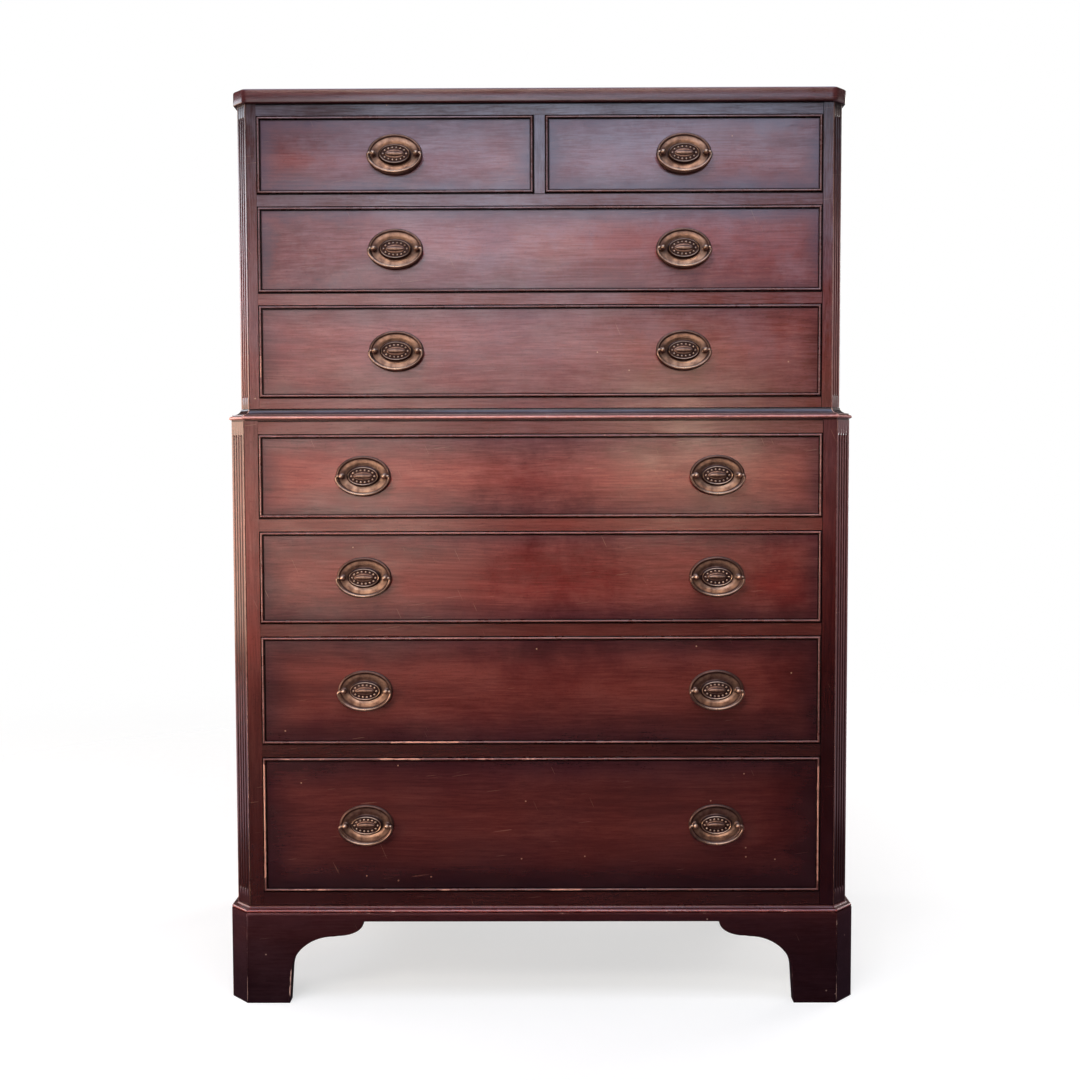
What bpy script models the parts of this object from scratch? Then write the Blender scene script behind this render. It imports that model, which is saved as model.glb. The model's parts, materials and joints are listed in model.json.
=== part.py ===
"""Highboy: a two-stage mahogany chest of drawers on bracket feet.

Metres, +Z up, front towards -Y. The origin is on the floor, under the middle of the bounding box.
"""
import math

import bmesh
import bpy
from mathutils import Matrix, Vector

# Driving sizes of the case
HEIGHT = 1.3716
LOWER_WIDTH = 0.932
LOWER_DEPTH = 0.512
CORNER_CUT = 0.0236
UPPER_INSET = 0.014
TOP_OVERHANG = 0.006
TOP_THICKNESS = 0.021
TOP_EDGE_ROUND = 0.0025
SIDE_THICKNESS = 0.019
BACK_THICKNESS = 0.008
FRAME_THICKNESS = 0.022
JOINT_GAP = 0.0003

# Face frames
UPPER_STILE = 0.0156
LOWER_STILE = 0.0214
CENTRE_STILE = 0.0165
UPPER_TOP_RAIL = 0.0174
UPPER_RAIL = 0.018
UPPER_BOTTOM_RAIL = 0.0164
LOWER_TOP_RAIL = 0.020
LOWER_RAIL = 0.0196
LOWER_BOTTOM_RAIL = 0.0213

# Shares of the drawer openings, top row first, in the height that base, rails and mouldings leave free
ROW_1_SHARE = 1.15
ROW_2_SHARE = 1.28
ROW_3_SHARE = 1.38
ROW_4_SHARE = 1.255
ROW_5_SHARE = 1.385
ROW_6_SHARE = 1.635
ROW_7_SHARE = 2.06

# Drawers
FRONT_THICKNESS = 0.020
FRONT_CLEARANCE = 0.0014
BEAD_WIDTH = 0.0032
BEAD_RISE = 0.0022
BOX_SIDE_THICKNESS = 0.012
BOX_BOTTOM_THICKNESS = 0.006
BOX_BOTTOM_RAISE = 0.008
BOX_SIDE_CLEARANCE = 0.0015
BOX_TOP_CLEARANCE = 0.010
BOX_REAR_CLEARANCE = 0.030
RUNNER_BEARING = 0.010
RUNNER_RELIEF = 0.003
RUNNER_TENON = 0.002
PARTITION_THICKNESS = 0.012

# Stopped flutes on the canted corners
UPPER_FLUTES = 3
LOWER_FLUTES = 4
FLUTE_WIDTH = 0.0040
FLUTE_DEPTH = 0.0013
FLUTE_SIDES = 10

# Waist moulding
WAIST_COVE_HEIGHT = 0.007
WAIST_COVE_LIP = 0.001
WAIST_LEDGE_HEIGHT = 0.0015
WAIST_BEAD_HEIGHT = 0.010
WAIST_BEAD_RISE = 0.0037
WAIST_LEDGE_SET_BACK = 0.001

# Base moulding and bracket base
BASE_COVE_HEIGHT = 0.0042
BASE_COVE_REACH = 0.0035
BASE_BEAD_HEIGHT = 0.0045
BASE_BEAD_RISE = 0.0025
BASE_PROJECTION = 0.009
APRON_HEIGHT = 0.0136
BRACKET_THICKNESS = 0.022
CORNER_BLOCK_WIDTH = 0.045
FOOT_WIDTH = 0.0930
FOOT_LEAN = 0.0032
FOOT_STRAIGHT = 0.0484
BRACKET_COVE_REACH = 0.0643
BRACKET_COVE_RISE = 0.0540
BRACKET_STEP_WIDTH = 0.0071
BRACKET_STEP_RISE = 0.001
BRACKET_NOSE_REACH = 0.0382
BRACKET_NOSE_RISE = 0.0206
BRACKET_CUSP_RISE = 0.0014
BACK_RAIL_HEIGHT = 0.045

# Oval pulls
PULL_WIDTH = 0.082
PULL_HEIGHT = 0.061
PLATE_EDGE = 0.0018
RIM_WIDTH = 0.0048
RIM_RISE = 0.0036
FIELD_RISE = 0.0022
DOME_RISE = 0.0050
MEDALLION_WIDTH = 0.043
MEDALLION_HEIGHT = 0.026
MEDALLION_RISE = 0.0016
MEDALLION_EDGE_SLOPE = 0.0010
POST_INSET = 0.00925
POST_NECK_RADIUS = 0.0029
POST_BALL_RADIUS = 0.0038
POST_STANDOFF = 0.011
POST_SINK = 0.0012
PINTLE_HOLE_RADIUS = 0.0021
PINTLE_RADIUS = 0.0015
PINTLE_DEPTH = 0.0020
BAIL_RADIUS = 0.0023
BAIL_OVERHANG = 0.001
BAIL_RISE = 0.001
LOWER_PULL_SPACING = 0.528

# Fineness of the round shapes
COVE_STEPS = 4
BEAD_STEPS = 5
BRACKET_STEPS = 6
PLATE_SIDES = 24
POST_SIDES = 8
BALL_STEPS = 3
BAIL_STEPS = 10
BAIL_BEVEL_RESOLUTION = 2
WELD_DISTANCE = 0.000002
SMOOTH_ANGLE = math.radians(40)

# Levels and planes worked out from the driving sizes
CUT_GROWTH = 2 - math.sqrt(2)
PULL_REACH = JOINT_GAP + POST_STANDOFF + POST_BALL_RADIUS
FRONT_REACH = max(PULL_REACH, BASE_PROJECTION)
FRONT_Y = (FRONT_REACH - LOWER_DEPTH) / 2
BACK_Y = FRONT_Y + LOWER_DEPTH
UPPER_FRONT_Y = FRONT_Y + UPPER_INSET
ARCH_Z = FOOT_STRAIGHT + BRACKET_COVE_RISE + BRACKET_STEP_RISE + BRACKET_NOSE_RISE + BRACKET_CUSP_RISE
BASE_Z = ARCH_Z + APRON_HEIGHT
LOWER_Z = BASE_Z + BASE_BEAD_HEIGHT + BASE_COVE_HEIGHT
WAIST_HEIGHT = WAIST_BEAD_HEIGHT + WAIST_LEDGE_HEIGHT + WAIST_COVE_HEIGHT
UPPER_SHARES = (ROW_3_SHARE, ROW_2_SHARE, ROW_1_SHARE)
LOWER_SHARES = (ROW_7_SHARE, ROW_6_SHARE, ROW_5_SHARE, ROW_4_SHARE)
UPPER_RAILS = UPPER_BOTTOM_RAIL + UPPER_RAIL * (len(UPPER_SHARES) - 1) + UPPER_TOP_RAIL
LOWER_RAILS = LOWER_BOTTOM_RAIL + LOWER_RAIL * (len(LOWER_SHARES) - 1) + LOWER_TOP_RAIL
ROW_SPACE = HEIGHT - LOWER_Z - LOWER_RAILS - WAIST_HEIGHT - UPPER_RAILS - TOP_THICKNESS
ROW_UNIT = ROW_SPACE / sum(UPPER_SHARES + LOWER_SHARES)
UPPER_ROWS = [share * ROW_UNIT for share in UPPER_SHARES]
LOWER_ROWS = [share * ROW_UNIT for share in LOWER_SHARES]


def stack_openings(floor_z, bottom_rail, rows, rail, top_rail):
    """Heights of the openings from the bottom up, and the height where the frame ends."""
    openings = []
    level = floor_z + bottom_rail
    for height in rows:
        openings.append((level, level + height))
        level += height + rail
    return openings, level - rail + top_rail


LOWER_OPENINGS, WAIST_Z = stack_openings(LOWER_Z, LOWER_BOTTOM_RAIL, LOWER_ROWS, LOWER_RAIL, LOWER_TOP_RAIL)
UPPER_Z = WAIST_Z + WAIST_HEIGHT
UPPER_OPENINGS, TOP_Z = stack_openings(UPPER_Z, UPPER_BOTTOM_RAIL, UPPER_ROWS, UPPER_RAIL, UPPER_TOP_RAIL)

# Directions of a flat outline: each turns the outline's own plane into a plane of the model
PLAN = Matrix.Identity(4)
FRONT_VIEW = Matrix.Rotation(math.pi / 2, 4, "X")
SIDE_VIEW = Matrix(((0, 0, 1, 0), (1, 0, 0, 0), (0, 1, 0, 0), (0, 0, 0, 1)))


def clear_scene():
    """Remove every object that the opening file holds."""
    for item in list(bpy.data.objects):
        bpy.data.objects.remove(item, do_unlink=True)


def new_collection(name):
    """A fresh collection linked to the scene."""
    collection = bpy.data.collections.new(name)
    bpy.context.scene.collection.children.link(collection)
    return collection


def finish_material(name, colour, roughness, metallic=0.0):
    """A principled material with one colour."""
    material = bpy.data.materials.new(name)
    material.use_nodes = True
    shader = material.node_tree.nodes["Principled BSDF"]
    shader.inputs["Base Color"].default_value = (*colour, 1.0)
    shader.inputs["Roughness"].default_value = roughness
    shader.inputs["Metallic"].default_value = metallic
    return material


def mesh_from_bmesh(name, bm):
    """Turn a bmesh into a mesh with its faces pointing out."""
    bmesh.ops.recalc_face_normals(bm, faces=bm.faces)
    mesh = bpy.data.meshes.new(name)
    bm.to_mesh(mesh)
    bm.free()
    return mesh


def evaluated_mesh(item):
    """A welded mesh of an object with its modifiers and its placing applied; the object is removed."""
    bpy.context.view_layer.update()
    depsgraph = bpy.context.evaluated_depsgraph_get()
    mesh = bpy.data.meshes.new_from_object(item.evaluated_get(depsgraph))
    mesh.transform(item.matrix_world)
    bpy.data.objects.remove(item, do_unlink=True)
    bm = bmesh.new()
    bm.from_mesh(mesh)
    bmesh.ops.remove_doubles(bm, verts=bm.verts, dist=WELD_DISTANCE)
    bmesh.ops.recalc_face_normals(bm, faces=bm.faces)
    bm.to_mesh(mesh)
    bm.free()
    return mesh


def blocks_mesh(name, corners):
    """One mesh of boxes, each from its low corner to its high corner."""
    bm = bmesh.new()
    for low, high in corners:
        size = Vector(high) - Vector(low)
        middle = (Vector(high) + Vector(low)) / 2
        bmesh.ops.create_cube(bm, size=1.0, matrix=Matrix.Translation(middle) @ Matrix.Diagonal((*size, 1)))
    return mesh_from_bmesh(name, bm)


def prism_mesh(name, loops, low, high, view):
    """A flat outline with holes, as thick as low to high along its own normal."""
    curve = bpy.data.curves.new(name, "CURVE")
    curve.dimensions = "2D"
    curve.fill_mode = "BOTH"
    curve.extrude = (high - low) / 2
    for loop in loops:
        spline = curve.splines.new("POLY")
        spline.points.add(len(loop) - 1)
        for point, (along, up) in zip(spline.points, loop):
            point.co = (along, up, 0.0, 1.0)
        spline.use_cyclic_u = True
    shape = bpy.data.objects.new(name, curve)
    shape.matrix_world = view @ Matrix.Translation((0, 0, (low + high) / 2))
    cutters.objects.link(shape)
    return evaluated_mesh(shape)


def loft_mesh(name, rings):
    """A closed skin through rings of equal count, with both ends capped."""
    bm = bmesh.new()
    layers = [[bm.verts.new(point) for point in ring] for ring in rings]
    for lower, upper in zip(layers, layers[1:]):
        for index in range(len(lower)):
            after = (index + 1) % len(lower)
            bm.faces.new((lower[index], lower[after], upper[after], upper[index]))
    bm.faces.new(layers[0])
    bm.faces.new(layers[-1])
    return mesh_from_bmesh(name, bm)


def add_part(name, mesh, material, location=(0, 0, 0), parent=None):
    """Place one sub-part of the chest."""
    item = bpy.data.objects.new(name, mesh)
    if not mesh.materials:
        mesh.materials.append(material)
    item.location = location
    item.parent = parent
    parts.objects.link(item)
    return item


def add_cutter(name, mesh, parent=None):
    """A helper solid that only cuts or joins other solids."""
    item = bpy.data.objects.new(name, mesh)
    item.hide_render = True
    item.display_type = "WIRE"
    item.parent = parent
    cutters.objects.link(item)
    return item


def combine(target, cutter, operation):
    """Cut, join or intersect a sub-part with a helper solid."""
    modifier = target.modifiers.new(cutter.name, "BOOLEAN")
    modifier.operation = operation
    modifier.solver = "EXACT"
    modifier.object = cutter


def smooth(mesh):
    """Shade a round piece smooth, with its real edges left sharp."""
    mesh.shade_smooth()
    mesh.set_sharp_from_angle(angle=SMOOTH_ANGLE)
    return mesh


def corner_cut(offset):
    """Plan length of the canted corner of an outline grown by offset."""
    return CORNER_CUT + offset * CUT_GROWTH


def plan_outline(offset):
    """Plan of the case grown by offset at the front and the sides; the back stays in place."""
    half = LOWER_WIDTH / 2 + offset
    front = FRONT_Y - offset
    cut = corner_cut(offset)
    return [
        (-half, BACK_Y),
        (half, BACK_Y),
        (half, front + cut),
        (half - cut, front),
        (-half + cut, front),
        (-half, front + cut),
    ]


def moulded_board(name, profile):
    """A board whose moulded edge follows profile, a list of height and offset from the bottom up."""
    rings = [[(x, y, height) for x, y in plan_outline(offset)] for height, offset in profile]
    return loft_mesh(name, rings)


def bead_profile(start, height, inner, rise):
    """Half-round bead: heights and offsets from start upwards."""
    points = []
    for step in range(BEAD_STEPS + 1):
        angle = math.pi * step / BEAD_STEPS
        points.append((start + height * (1 - math.cos(angle)) / 2, inner + rise * math.sin(angle)))
    return points


def cove_profile(start, height, outer, inner):
    """Hollow quarter round from the outer edge below to the inner edge above."""
    points = []
    for step in range(COVE_STEPS + 1):
        angle = math.pi / 2 * step / COVE_STEPS
        points.append((start + height * (1 - math.cos(angle)), outer + (inner - outer) * math.sin(angle)))
    return points


def make_boards():
    """Top board, waist board and base board with their moulded edges."""
    top_offset = TOP_OVERHANG - UPPER_INSET
    top_profile = [
        (0, top_offset - TOP_EDGE_ROUND),
        (TOP_EDGE_ROUND, top_offset),
        (TOP_THICKNESS - TOP_EDGE_ROUND, top_offset),
        (TOP_THICKNESS, top_offset - TOP_EDGE_ROUND),
    ]
    add_part("top_board", moulded_board("top_board", top_profile), CASE_WOOD, (0, 0, TOP_Z))

    cove_z = WAIST_BEAD_HEIGHT + WAIST_LEDGE_HEIGHT
    waist_profile = bead_profile(0, WAIST_BEAD_HEIGHT, 0, WAIST_BEAD_RISE)
    waist_profile += cove_profile(cove_z, WAIST_COVE_HEIGHT - JOINT_GAP, -WAIST_LEDGE_SET_BACK,
                                  WAIST_COVE_LIP - UPPER_INSET)
    add_part("waist_board", moulded_board("waist_board", waist_profile), CASE_WOOD, (0, 0, WAIST_Z))

    bead_inner = BASE_PROJECTION - BASE_BEAD_RISE
    base_profile = bead_profile(0, BASE_BEAD_HEIGHT, bead_inner, BASE_BEAD_RISE)
    base_profile += cove_profile(BASE_BEAD_HEIGHT + JOINT_GAP, BASE_COVE_HEIGHT - 2 * JOINT_GAP,
                                 BASE_COVE_REACH, JOINT_GAP)
    add_part("base_board", moulded_board("base_board", base_profile), BASE_WOOD, (0, 0, BASE_Z))


def opening_width(offset, stile):
    """Clear width between the stiles of a face frame."""
    return LOWER_WIDTH + 2 * (offset - corner_cut(offset) - stile)


def rectangle(left, right, low, high):
    """Corner points of a rectangle."""
    return [(left, low), (right, low), (right, high), (left, high)]


def make_frame(name, offset, width, openings, low, high, centre_stile=0.0):
    """Face frame between the canted corners; the top opening may be split by a centre stile."""
    half = LOWER_WIDTH / 2 + offset - corner_cut(offset)
    loops = [rectangle(-half, half, low + JOINT_GAP, high - JOINT_GAP)]
    for bottom, top in openings[:-1]:
        loops.append(rectangle(-width / 2, width / 2, bottom, top))
    bottom, top = openings[-1]
    if centre_stile:
        loops.append(rectangle(-width / 2, -centre_stile / 2, bottom, top))
        loops.append(rectangle(centre_stile / 2, width / 2, bottom, top))
    else:
        loops.append(rectangle(-width / 2, width / 2, bottom, top))
    front = FRONT_Y - offset
    mesh = prism_mesh(name, loops, -front - FRAME_THICKNESS, -front, FRONT_VIEW)
    add_part(name, mesh, CASE_WOOD)


def flute_mesh(name, side, offset, count, low, high):
    """Cutters for the stopped flutes of one canted corner."""
    radius = (FLUTE_WIDTH ** 2 / 4 + FLUTE_DEPTH ** 2) / (2 * FLUTE_DEPTH)
    half = LOWER_WIDTH / 2 + offset
    cut = corner_cut(offset)
    slant = math.sqrt(0.5)
    pitch = cut / slant / (count + 1)
    middle = Vector((half - cut / 2, FRONT_Y - offset + cut / 2))
    middle += Vector((slant, -slant)) * (radius - FLUTE_DEPTH)
    bm = bmesh.new()
    for index in range(count):
        centre = middle + Vector((slant, slant)) * pitch * (index - (count - 1) / 2)
        place = Matrix.Translation((side * centre.x, centre.y, (low + high) / 2))
        bmesh.ops.create_cone(bm, cap_ends=True, segments=FLUTE_SIDES, radius1=radius, radius2=radius,
                              depth=high - low, matrix=place)
    ends = [edge for edge in bm.edges if abs(edge.verts[0].co.z - edge.verts[1].co.z) < FLUTE_DEPTH]
    bmesh.ops.bevel(bm, geom=ends, offset=FLUTE_DEPTH, segments=1, affect="EDGES")
    return mesh_from_bmesh(name, bm)


def make_side(name, side, offset, stile, openings, rails, flutes, low, high):
    """Side panel with its canted, fluted corner and its drawer runners."""
    half = LOWER_WIDTH / 2 + offset
    front = FRONT_Y - offset
    cut = corner_cut(offset)
    corner_x = half - cut + JOINT_GAP
    behind_frame = front + FRAME_THICKNESS + JOINT_GAP
    inner = half - SIDE_THICKNESS
    plan = [
        (half, BACK_Y),
        (half, front + cut),
        (corner_x, front + JOINT_GAP),
        (corner_x, behind_frame),
        (inner, behind_frame),
        (inner, BACK_Y),
    ]
    mesh = prism_mesh(name, [[(side * x, y) for x, y in plan]], low + JOINT_GAP, high - JOINT_GAP, PLAN)
    panel = add_part(name, mesh, CASE_WOOD)

    reach = opening_width(offset, stile) / 2 - BOX_SIDE_CLEARANCE - RUNNER_BEARING
    left, right = sorted((side * reach, side * (inner + RUNNER_TENON)))
    runner_back = BACK_Y - BACK_THICKNESS - JOINT_GAP
    runners = []
    for (bottom, _), rail in zip(openings, rails):
        underside = bottom - rail + RUNNER_RELIEF
        runners.append(((left, behind_frame, underside), (right, runner_back, bottom)))
    combine(panel, add_cutter(name + "_runners", blocks_mesh(name + "_runners", runners)), "UNION")
    grooves = flute_mesh(name + "_flutes", side, offset, flutes, openings[0][0], openings[-1][1])
    combine(panel, add_cutter(name + "_flutes", grooves), "DIFFERENCE")


def make_back(name, offset, low, high):
    """Back panel between the two sides."""
    half = LOWER_WIDTH / 2 + offset - SIDE_THICKNESS - JOINT_GAP
    low_corner = (-half, BACK_Y - BACK_THICKNESS, low + JOINT_GAP)
    high_corner = (half, BACK_Y, high - JOINT_GAP)
    add_part(name, blocks_mesh(name, [(low_corner, high_corner)]), PLAIN_WOOD)


def make_partition():
    """Upright between the two small drawers, with a runner along each foot."""
    bottom, _ = UPPER_OPENINGS[-1]
    web = PARTITION_THICKNESS / 2
    foot = CENTRE_STILE / 2 + BOX_SIDE_CLEARANCE + RUNNER_BEARING
    low = bottom - UPPER_RAIL + RUNNER_RELIEF
    high = TOP_Z - JOINT_GAP
    right_half = [(foot, low), (foot, bottom), (web, bottom), (web, high)]
    section = right_half + [(-x, z) for x, z in reversed(right_half)]
    front = UPPER_FRONT_Y + FRAME_THICKNESS + JOINT_GAP
    back = BACK_Y - BACK_THICKNESS - JOINT_GAP
    mesh = prism_mesh("upper_partition", [section], -back, -front, FRONT_VIEW)
    add_part("upper_partition", mesh, PLAIN_WOOD)


def bracket_curve():
    """Inner edge of a bracket foot: distance from the foot's outer face and height, from the floor up."""
    points = [(FOOT_WIDTH, 0.0)]
    cove_start = FOOT_WIDTH + FOOT_LEAN
    for step in range(BRACKET_STEPS + 1):
        angle = math.pi / 2 * step / BRACKET_STEPS
        points.append((cove_start + BRACKET_COVE_REACH * (1 - math.cos(angle)),
                       FOOT_STRAIGHT + BRACKET_COVE_RISE * math.sin(angle)))
    nose_start = cove_start + BRACKET_COVE_REACH + BRACKET_STEP_WIDTH
    nose_low = FOOT_STRAIGHT + BRACKET_COVE_RISE + BRACKET_STEP_RISE
    for step in range(BRACKET_STEPS + 1):
        angle = math.pi / 2 * step / BRACKET_STEPS
        points.append((nose_start + BRACKET_NOSE_REACH * math.sin(angle),
                       nose_low + BRACKET_NOSE_RISE * (1 - math.cos(angle))))
    points.append((points[-1][0], ARCH_Z))
    return points


def make_bracket_base():
    """Front and side bracket boards with their cut-out feet, and the plain rail behind."""
    half = LOWER_WIDTH / 2 + BASE_PROJECTION
    front = FRONT_Y - BASE_PROJECTION
    cut = corner_cut(BASE_PROJECTION)
    top = BASE_Z - JOINT_GAP
    curve = bracket_curve()

    right_edge = [(half - inset, height) for inset, height in curve]
    left_edge = [(inset - half, height) for inset, height in reversed(curve)]
    face = [(half, 0.0)] + right_edge + left_edge + [(-half, 0.0), (-half, top), (half, top)]
    deepest = front + max(cut, BRACKET_THICKNESS)
    mesh = prism_mesh("bracket_base_front", [face], -deepest, -front, FRONT_VIEW)
    board = add_part("bracket_base_front", mesh, BASE_WOOD)
    block = half - CORNER_BLOCK_WIDTH
    plan = [
        (half, front + cut),
        (half - cut, front),
        (cut - half, front),
        (-half, front + cut),
        (-half, deepest),
        (-block, deepest),
        (-block, front + BRACKET_THICKNESS),
        (block, front + BRACKET_THICKNESS),
        (block, deepest),
        (half, deepest),
    ]
    outline = prism_mesh("bracket_base_plan", [drop_repeats(plan)], -JOINT_GAP, BASE_Z, PLAN)
    combine(board, add_cutter("bracket_base_plan", outline), "INTERSECT")

    side_front = deepest + JOINT_GAP
    front_edge = [(front + inset, height) for inset, height in curve]
    rear_edge = [(BACK_Y - inset, height) for inset, height in reversed(curve)]
    profile = [(side_front, 0.0)] + front_edge + rear_edge + [(BACK_Y, 0.0), (BACK_Y, top), (side_front, top)]
    for name, side in (("bracket_base_left", -1), ("bracket_base_right", 1)):
        low, high = sorted((side * (half - BRACKET_THICKNESS), side * half))
        add_part(name, prism_mesh(name, [profile], low, high, SIDE_VIEW), BASE_WOOD)

    inner = half - BRACKET_THICKNESS - JOINT_GAP
    rail = [((-inner, BACK_Y - BRACKET_THICKNESS, top - BACK_RAIL_HEIGHT), (inner, BACK_Y, top))]
    add_part("base_back_rail", blocks_mesh("base_back_rail", rail), PLAIN_WOOD)


def drop_repeats(loop):
    """The loop without points that repeat the one before them."""
    return [point for index, point in enumerate(loop) if point != loop[index - 1]]


def ellipse_ring(half_width, half_height, rise):
    """Ring of an oval plate at a given rise from the drawer front."""
    ring = []
    for step in range(PLATE_SIDES):
        angle = math.tau * step / PLATE_SIDES
        ring.append((half_width * math.cos(angle), -rise, half_height * math.sin(angle)))
    return ring


def post_mesh(name):
    """Turned post with a ball head, standing out from the drawer front."""
    waist = math.asin(POST_NECK_RADIUS / POST_BALL_RADIUS)
    profile = [(0.0, POST_STANDOFF + POST_BALL_RADIUS)]
    for step in range(1, BALL_STEPS + 1):
        angle = (math.pi - waist) * step / BALL_STEPS
        height = POST_STANDOFF + POST_BALL_RADIUS * math.cos(angle)
        profile.append((POST_BALL_RADIUS * math.sin(angle), height))
    profile.append((POST_NECK_RADIUS, POST_SINK))
    profile.append((0.0, POST_SINK))
    bm = bmesh.new()
    points = [bm.verts.new((radius, 0, height)) for radius, height in profile]
    for first, second in zip(points, points[1:]):
        bm.edges.new((first, second))
    line = bpy.data.meshes.new(name)
    bm.to_mesh(line)
    bm.free()
    turned = bpy.data.objects.new(name, line)
    turned.rotation_euler = (math.pi / 2, 0, 0)
    cutters.objects.link(turned)
    screw = turned.modifiers.new("turning", "SCREW")
    screw.axis = "Z"
    screw.angle = math.tau
    screw.steps = POST_SIDES
    screw.render_steps = POST_SIDES
    screw.use_merge_vertices = True
    screw.merge_threshold = WELD_DISTANCE
    return evaluated_mesh(turned)


def pull_plate_mesh():
    """Oval backplate with a raised rim, a domed field, a medallion and two drilled posts."""
    half_width = PULL_WIDTH / 2
    half_height = PULL_HEIGHT / 2
    medal_width = MEDALLION_WIDTH / 2
    medal_height = MEDALLION_HEIGHT / 2
    field_width = half_width - RIM_WIDTH
    field_height = half_height - RIM_WIDTH
    shoulder_rise = FIELD_RISE + (DOME_RISE - FIELD_RISE) * math.sin(math.pi / 4)
    crest = RIM_WIDTH / 2
    rings = [
        ellipse_ring(half_width, half_height, 0),
        ellipse_ring(half_width, half_height, PLATE_EDGE),
        ellipse_ring(half_width - crest, half_height - crest, RIM_RISE),
        ellipse_ring(field_width, field_height, FIELD_RISE),
        ellipse_ring((field_width + medal_width) / 2, (field_height + medal_height) / 2, shoulder_rise),
        ellipse_ring(medal_width, medal_height, DOME_RISE),
        ellipse_ring(medal_width - MEDALLION_EDGE_SLOPE, medal_height - MEDALLION_EDGE_SLOPE,
                     DOME_RISE + MEDALLION_RISE),
    ]
    plate = add_cutter("pull_plate_blank", loft_mesh("pull_plate_blank", rings))
    helpers = []
    post_x = half_width - POST_INSET
    for label, side in (("left", -1), ("right", 1)):
        post = add_cutter("post_" + label, post_mesh("post_" + label))
        post.location = (side * post_x, 0, 0)
        combine(plate, post, "UNION")
        inner = post_x - PINTLE_DEPTH
        depth = PINTLE_DEPTH + 2 * POST_BALL_RADIUS
        bm = bmesh.new()
        place = Matrix.Translation((side * (inner + depth / 2), -POST_STANDOFF, 0))
        place @= Matrix.Rotation(math.pi / 2, 4, "Y")
        bmesh.ops.create_cone(bm, cap_ends=True, segments=POST_SIDES, radius1=PINTLE_HOLE_RADIUS,
                              radius2=PINTLE_HOLE_RADIUS, depth=depth, matrix=place)
        drill = add_cutter("pintle_hole_" + label, mesh_from_bmesh("pintle_hole_" + label, bm))
        combine(plate, drill, "DIFFERENCE")
        helpers += [post, drill]
    mesh = evaluated_mesh(plate)
    for helper in helpers:
        bpy.data.objects.remove(helper, do_unlink=True)
    return smooth(mesh)


def bail_mesh():
    """Half-oval bail hanging from its pintles, which lie along X through the origin."""
    post_x = PULL_WIDTH / 2 - POST_INSET
    tip = post_x - PINTLE_DEPTH + JOINT_GAP
    shoulder = post_x + POST_BALL_RADIUS + JOINT_GAP
    half_width = PULL_WIDTH / 2 + BAIL_OVERHANG
    drop = PULL_HEIGHT / 2 - BAIL_RISE
    slim = PINTLE_RADIUS / BAIL_RADIUS
    route = [(-tip, 0.0, slim), (-shoulder, 0.0, slim), (-shoulder - BAIL_RADIUS, 0.0, 1.0)]
    for step in range(1, BAIL_STEPS):
        angle = math.pi * step / BAIL_STEPS
        route.append((-half_width * math.cos(angle), -drop * math.sin(angle), 1.0))
    route += [(shoulder + BAIL_RADIUS, 0.0, 1.0), (shoulder, 0.0, slim), (tip, 0.0, slim)]
    curve = bpy.data.curves.new("bail", "CURVE")
    curve.dimensions = "3D"
    curve.bevel_depth = BAIL_RADIUS
    curve.bevel_resolution = BAIL_BEVEL_RESOLUTION
    curve.use_fill_caps = True
    spline = curve.splines.new("POLY")
    spline.points.add(len(route) - 1)
    for point, (along, up, thickness) in zip(spline.points, route):
        point.co = (along, 0.0, up, 1.0)
        point.radius = thickness
    rod = bpy.data.objects.new("bail", curve)
    cutters.objects.link(rod)
    return smooth(evaluated_mesh(rod))


def drawer_front_mesh(name, width, height):
    """Front board with a cock bead standing proud along its edge."""
    half_width = width / 2 - FRONT_CLEARANCE
    half_height = height / 2 - FRONT_CLEARANCE
    low = (-half_width, -BEAD_RISE, -half_height)
    high = (half_width, FRONT_THICKNESS, half_height)
    board = blocks_mesh(name, [(low, high)])
    bm = bmesh.new()
    bm.from_mesh(board)
    bpy.data.meshes.remove(board)
    bm.normal_update()
    face = min(bm.faces, key=lambda item: item.normal.y)
    bmesh.ops.inset_region(bm, faces=[face], thickness=BEAD_WIDTH, depth=-BEAD_RISE, use_even_offset=True)
    return mesh_from_bmesh(name, bm)


def make_box(name, width, height, length, parent):
    """Drawer box: two sides, a back and a raised bottom, open towards the front board."""
    half = width / 2 - BOX_SIDE_CLEARANCE
    low = -height / 2 + JOINT_GAP
    high = height / 2 - BOX_TOP_CLEARANCE
    front = FRONT_THICKNESS + JOINT_GAP
    back = front + length
    blank = blocks_mesh(name, [((-half, front, low), (half, back, high))])
    box = add_part(name, blank, PLAIN_WOOD, parent=parent)
    inner = half - BOX_SIDE_THICKNESS
    back_wall = back - BOX_SIDE_THICKNESS
    under = low + BOX_BOTTOM_RAISE
    floor = under + BOX_BOTTOM_THICKNESS
    spill = BOX_SIDE_THICKNESS
    hollow = [
        ((-inner, front - spill, floor), (inner, back_wall, high + spill)),
        ((-inner, front - spill, low - spill), (inner, back + spill, under)),
    ]
    combine(box, add_cutter(name + "_hollow", blocks_mesh(name + "_hollow", hollow), parent), "DIFFERENCE")


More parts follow.
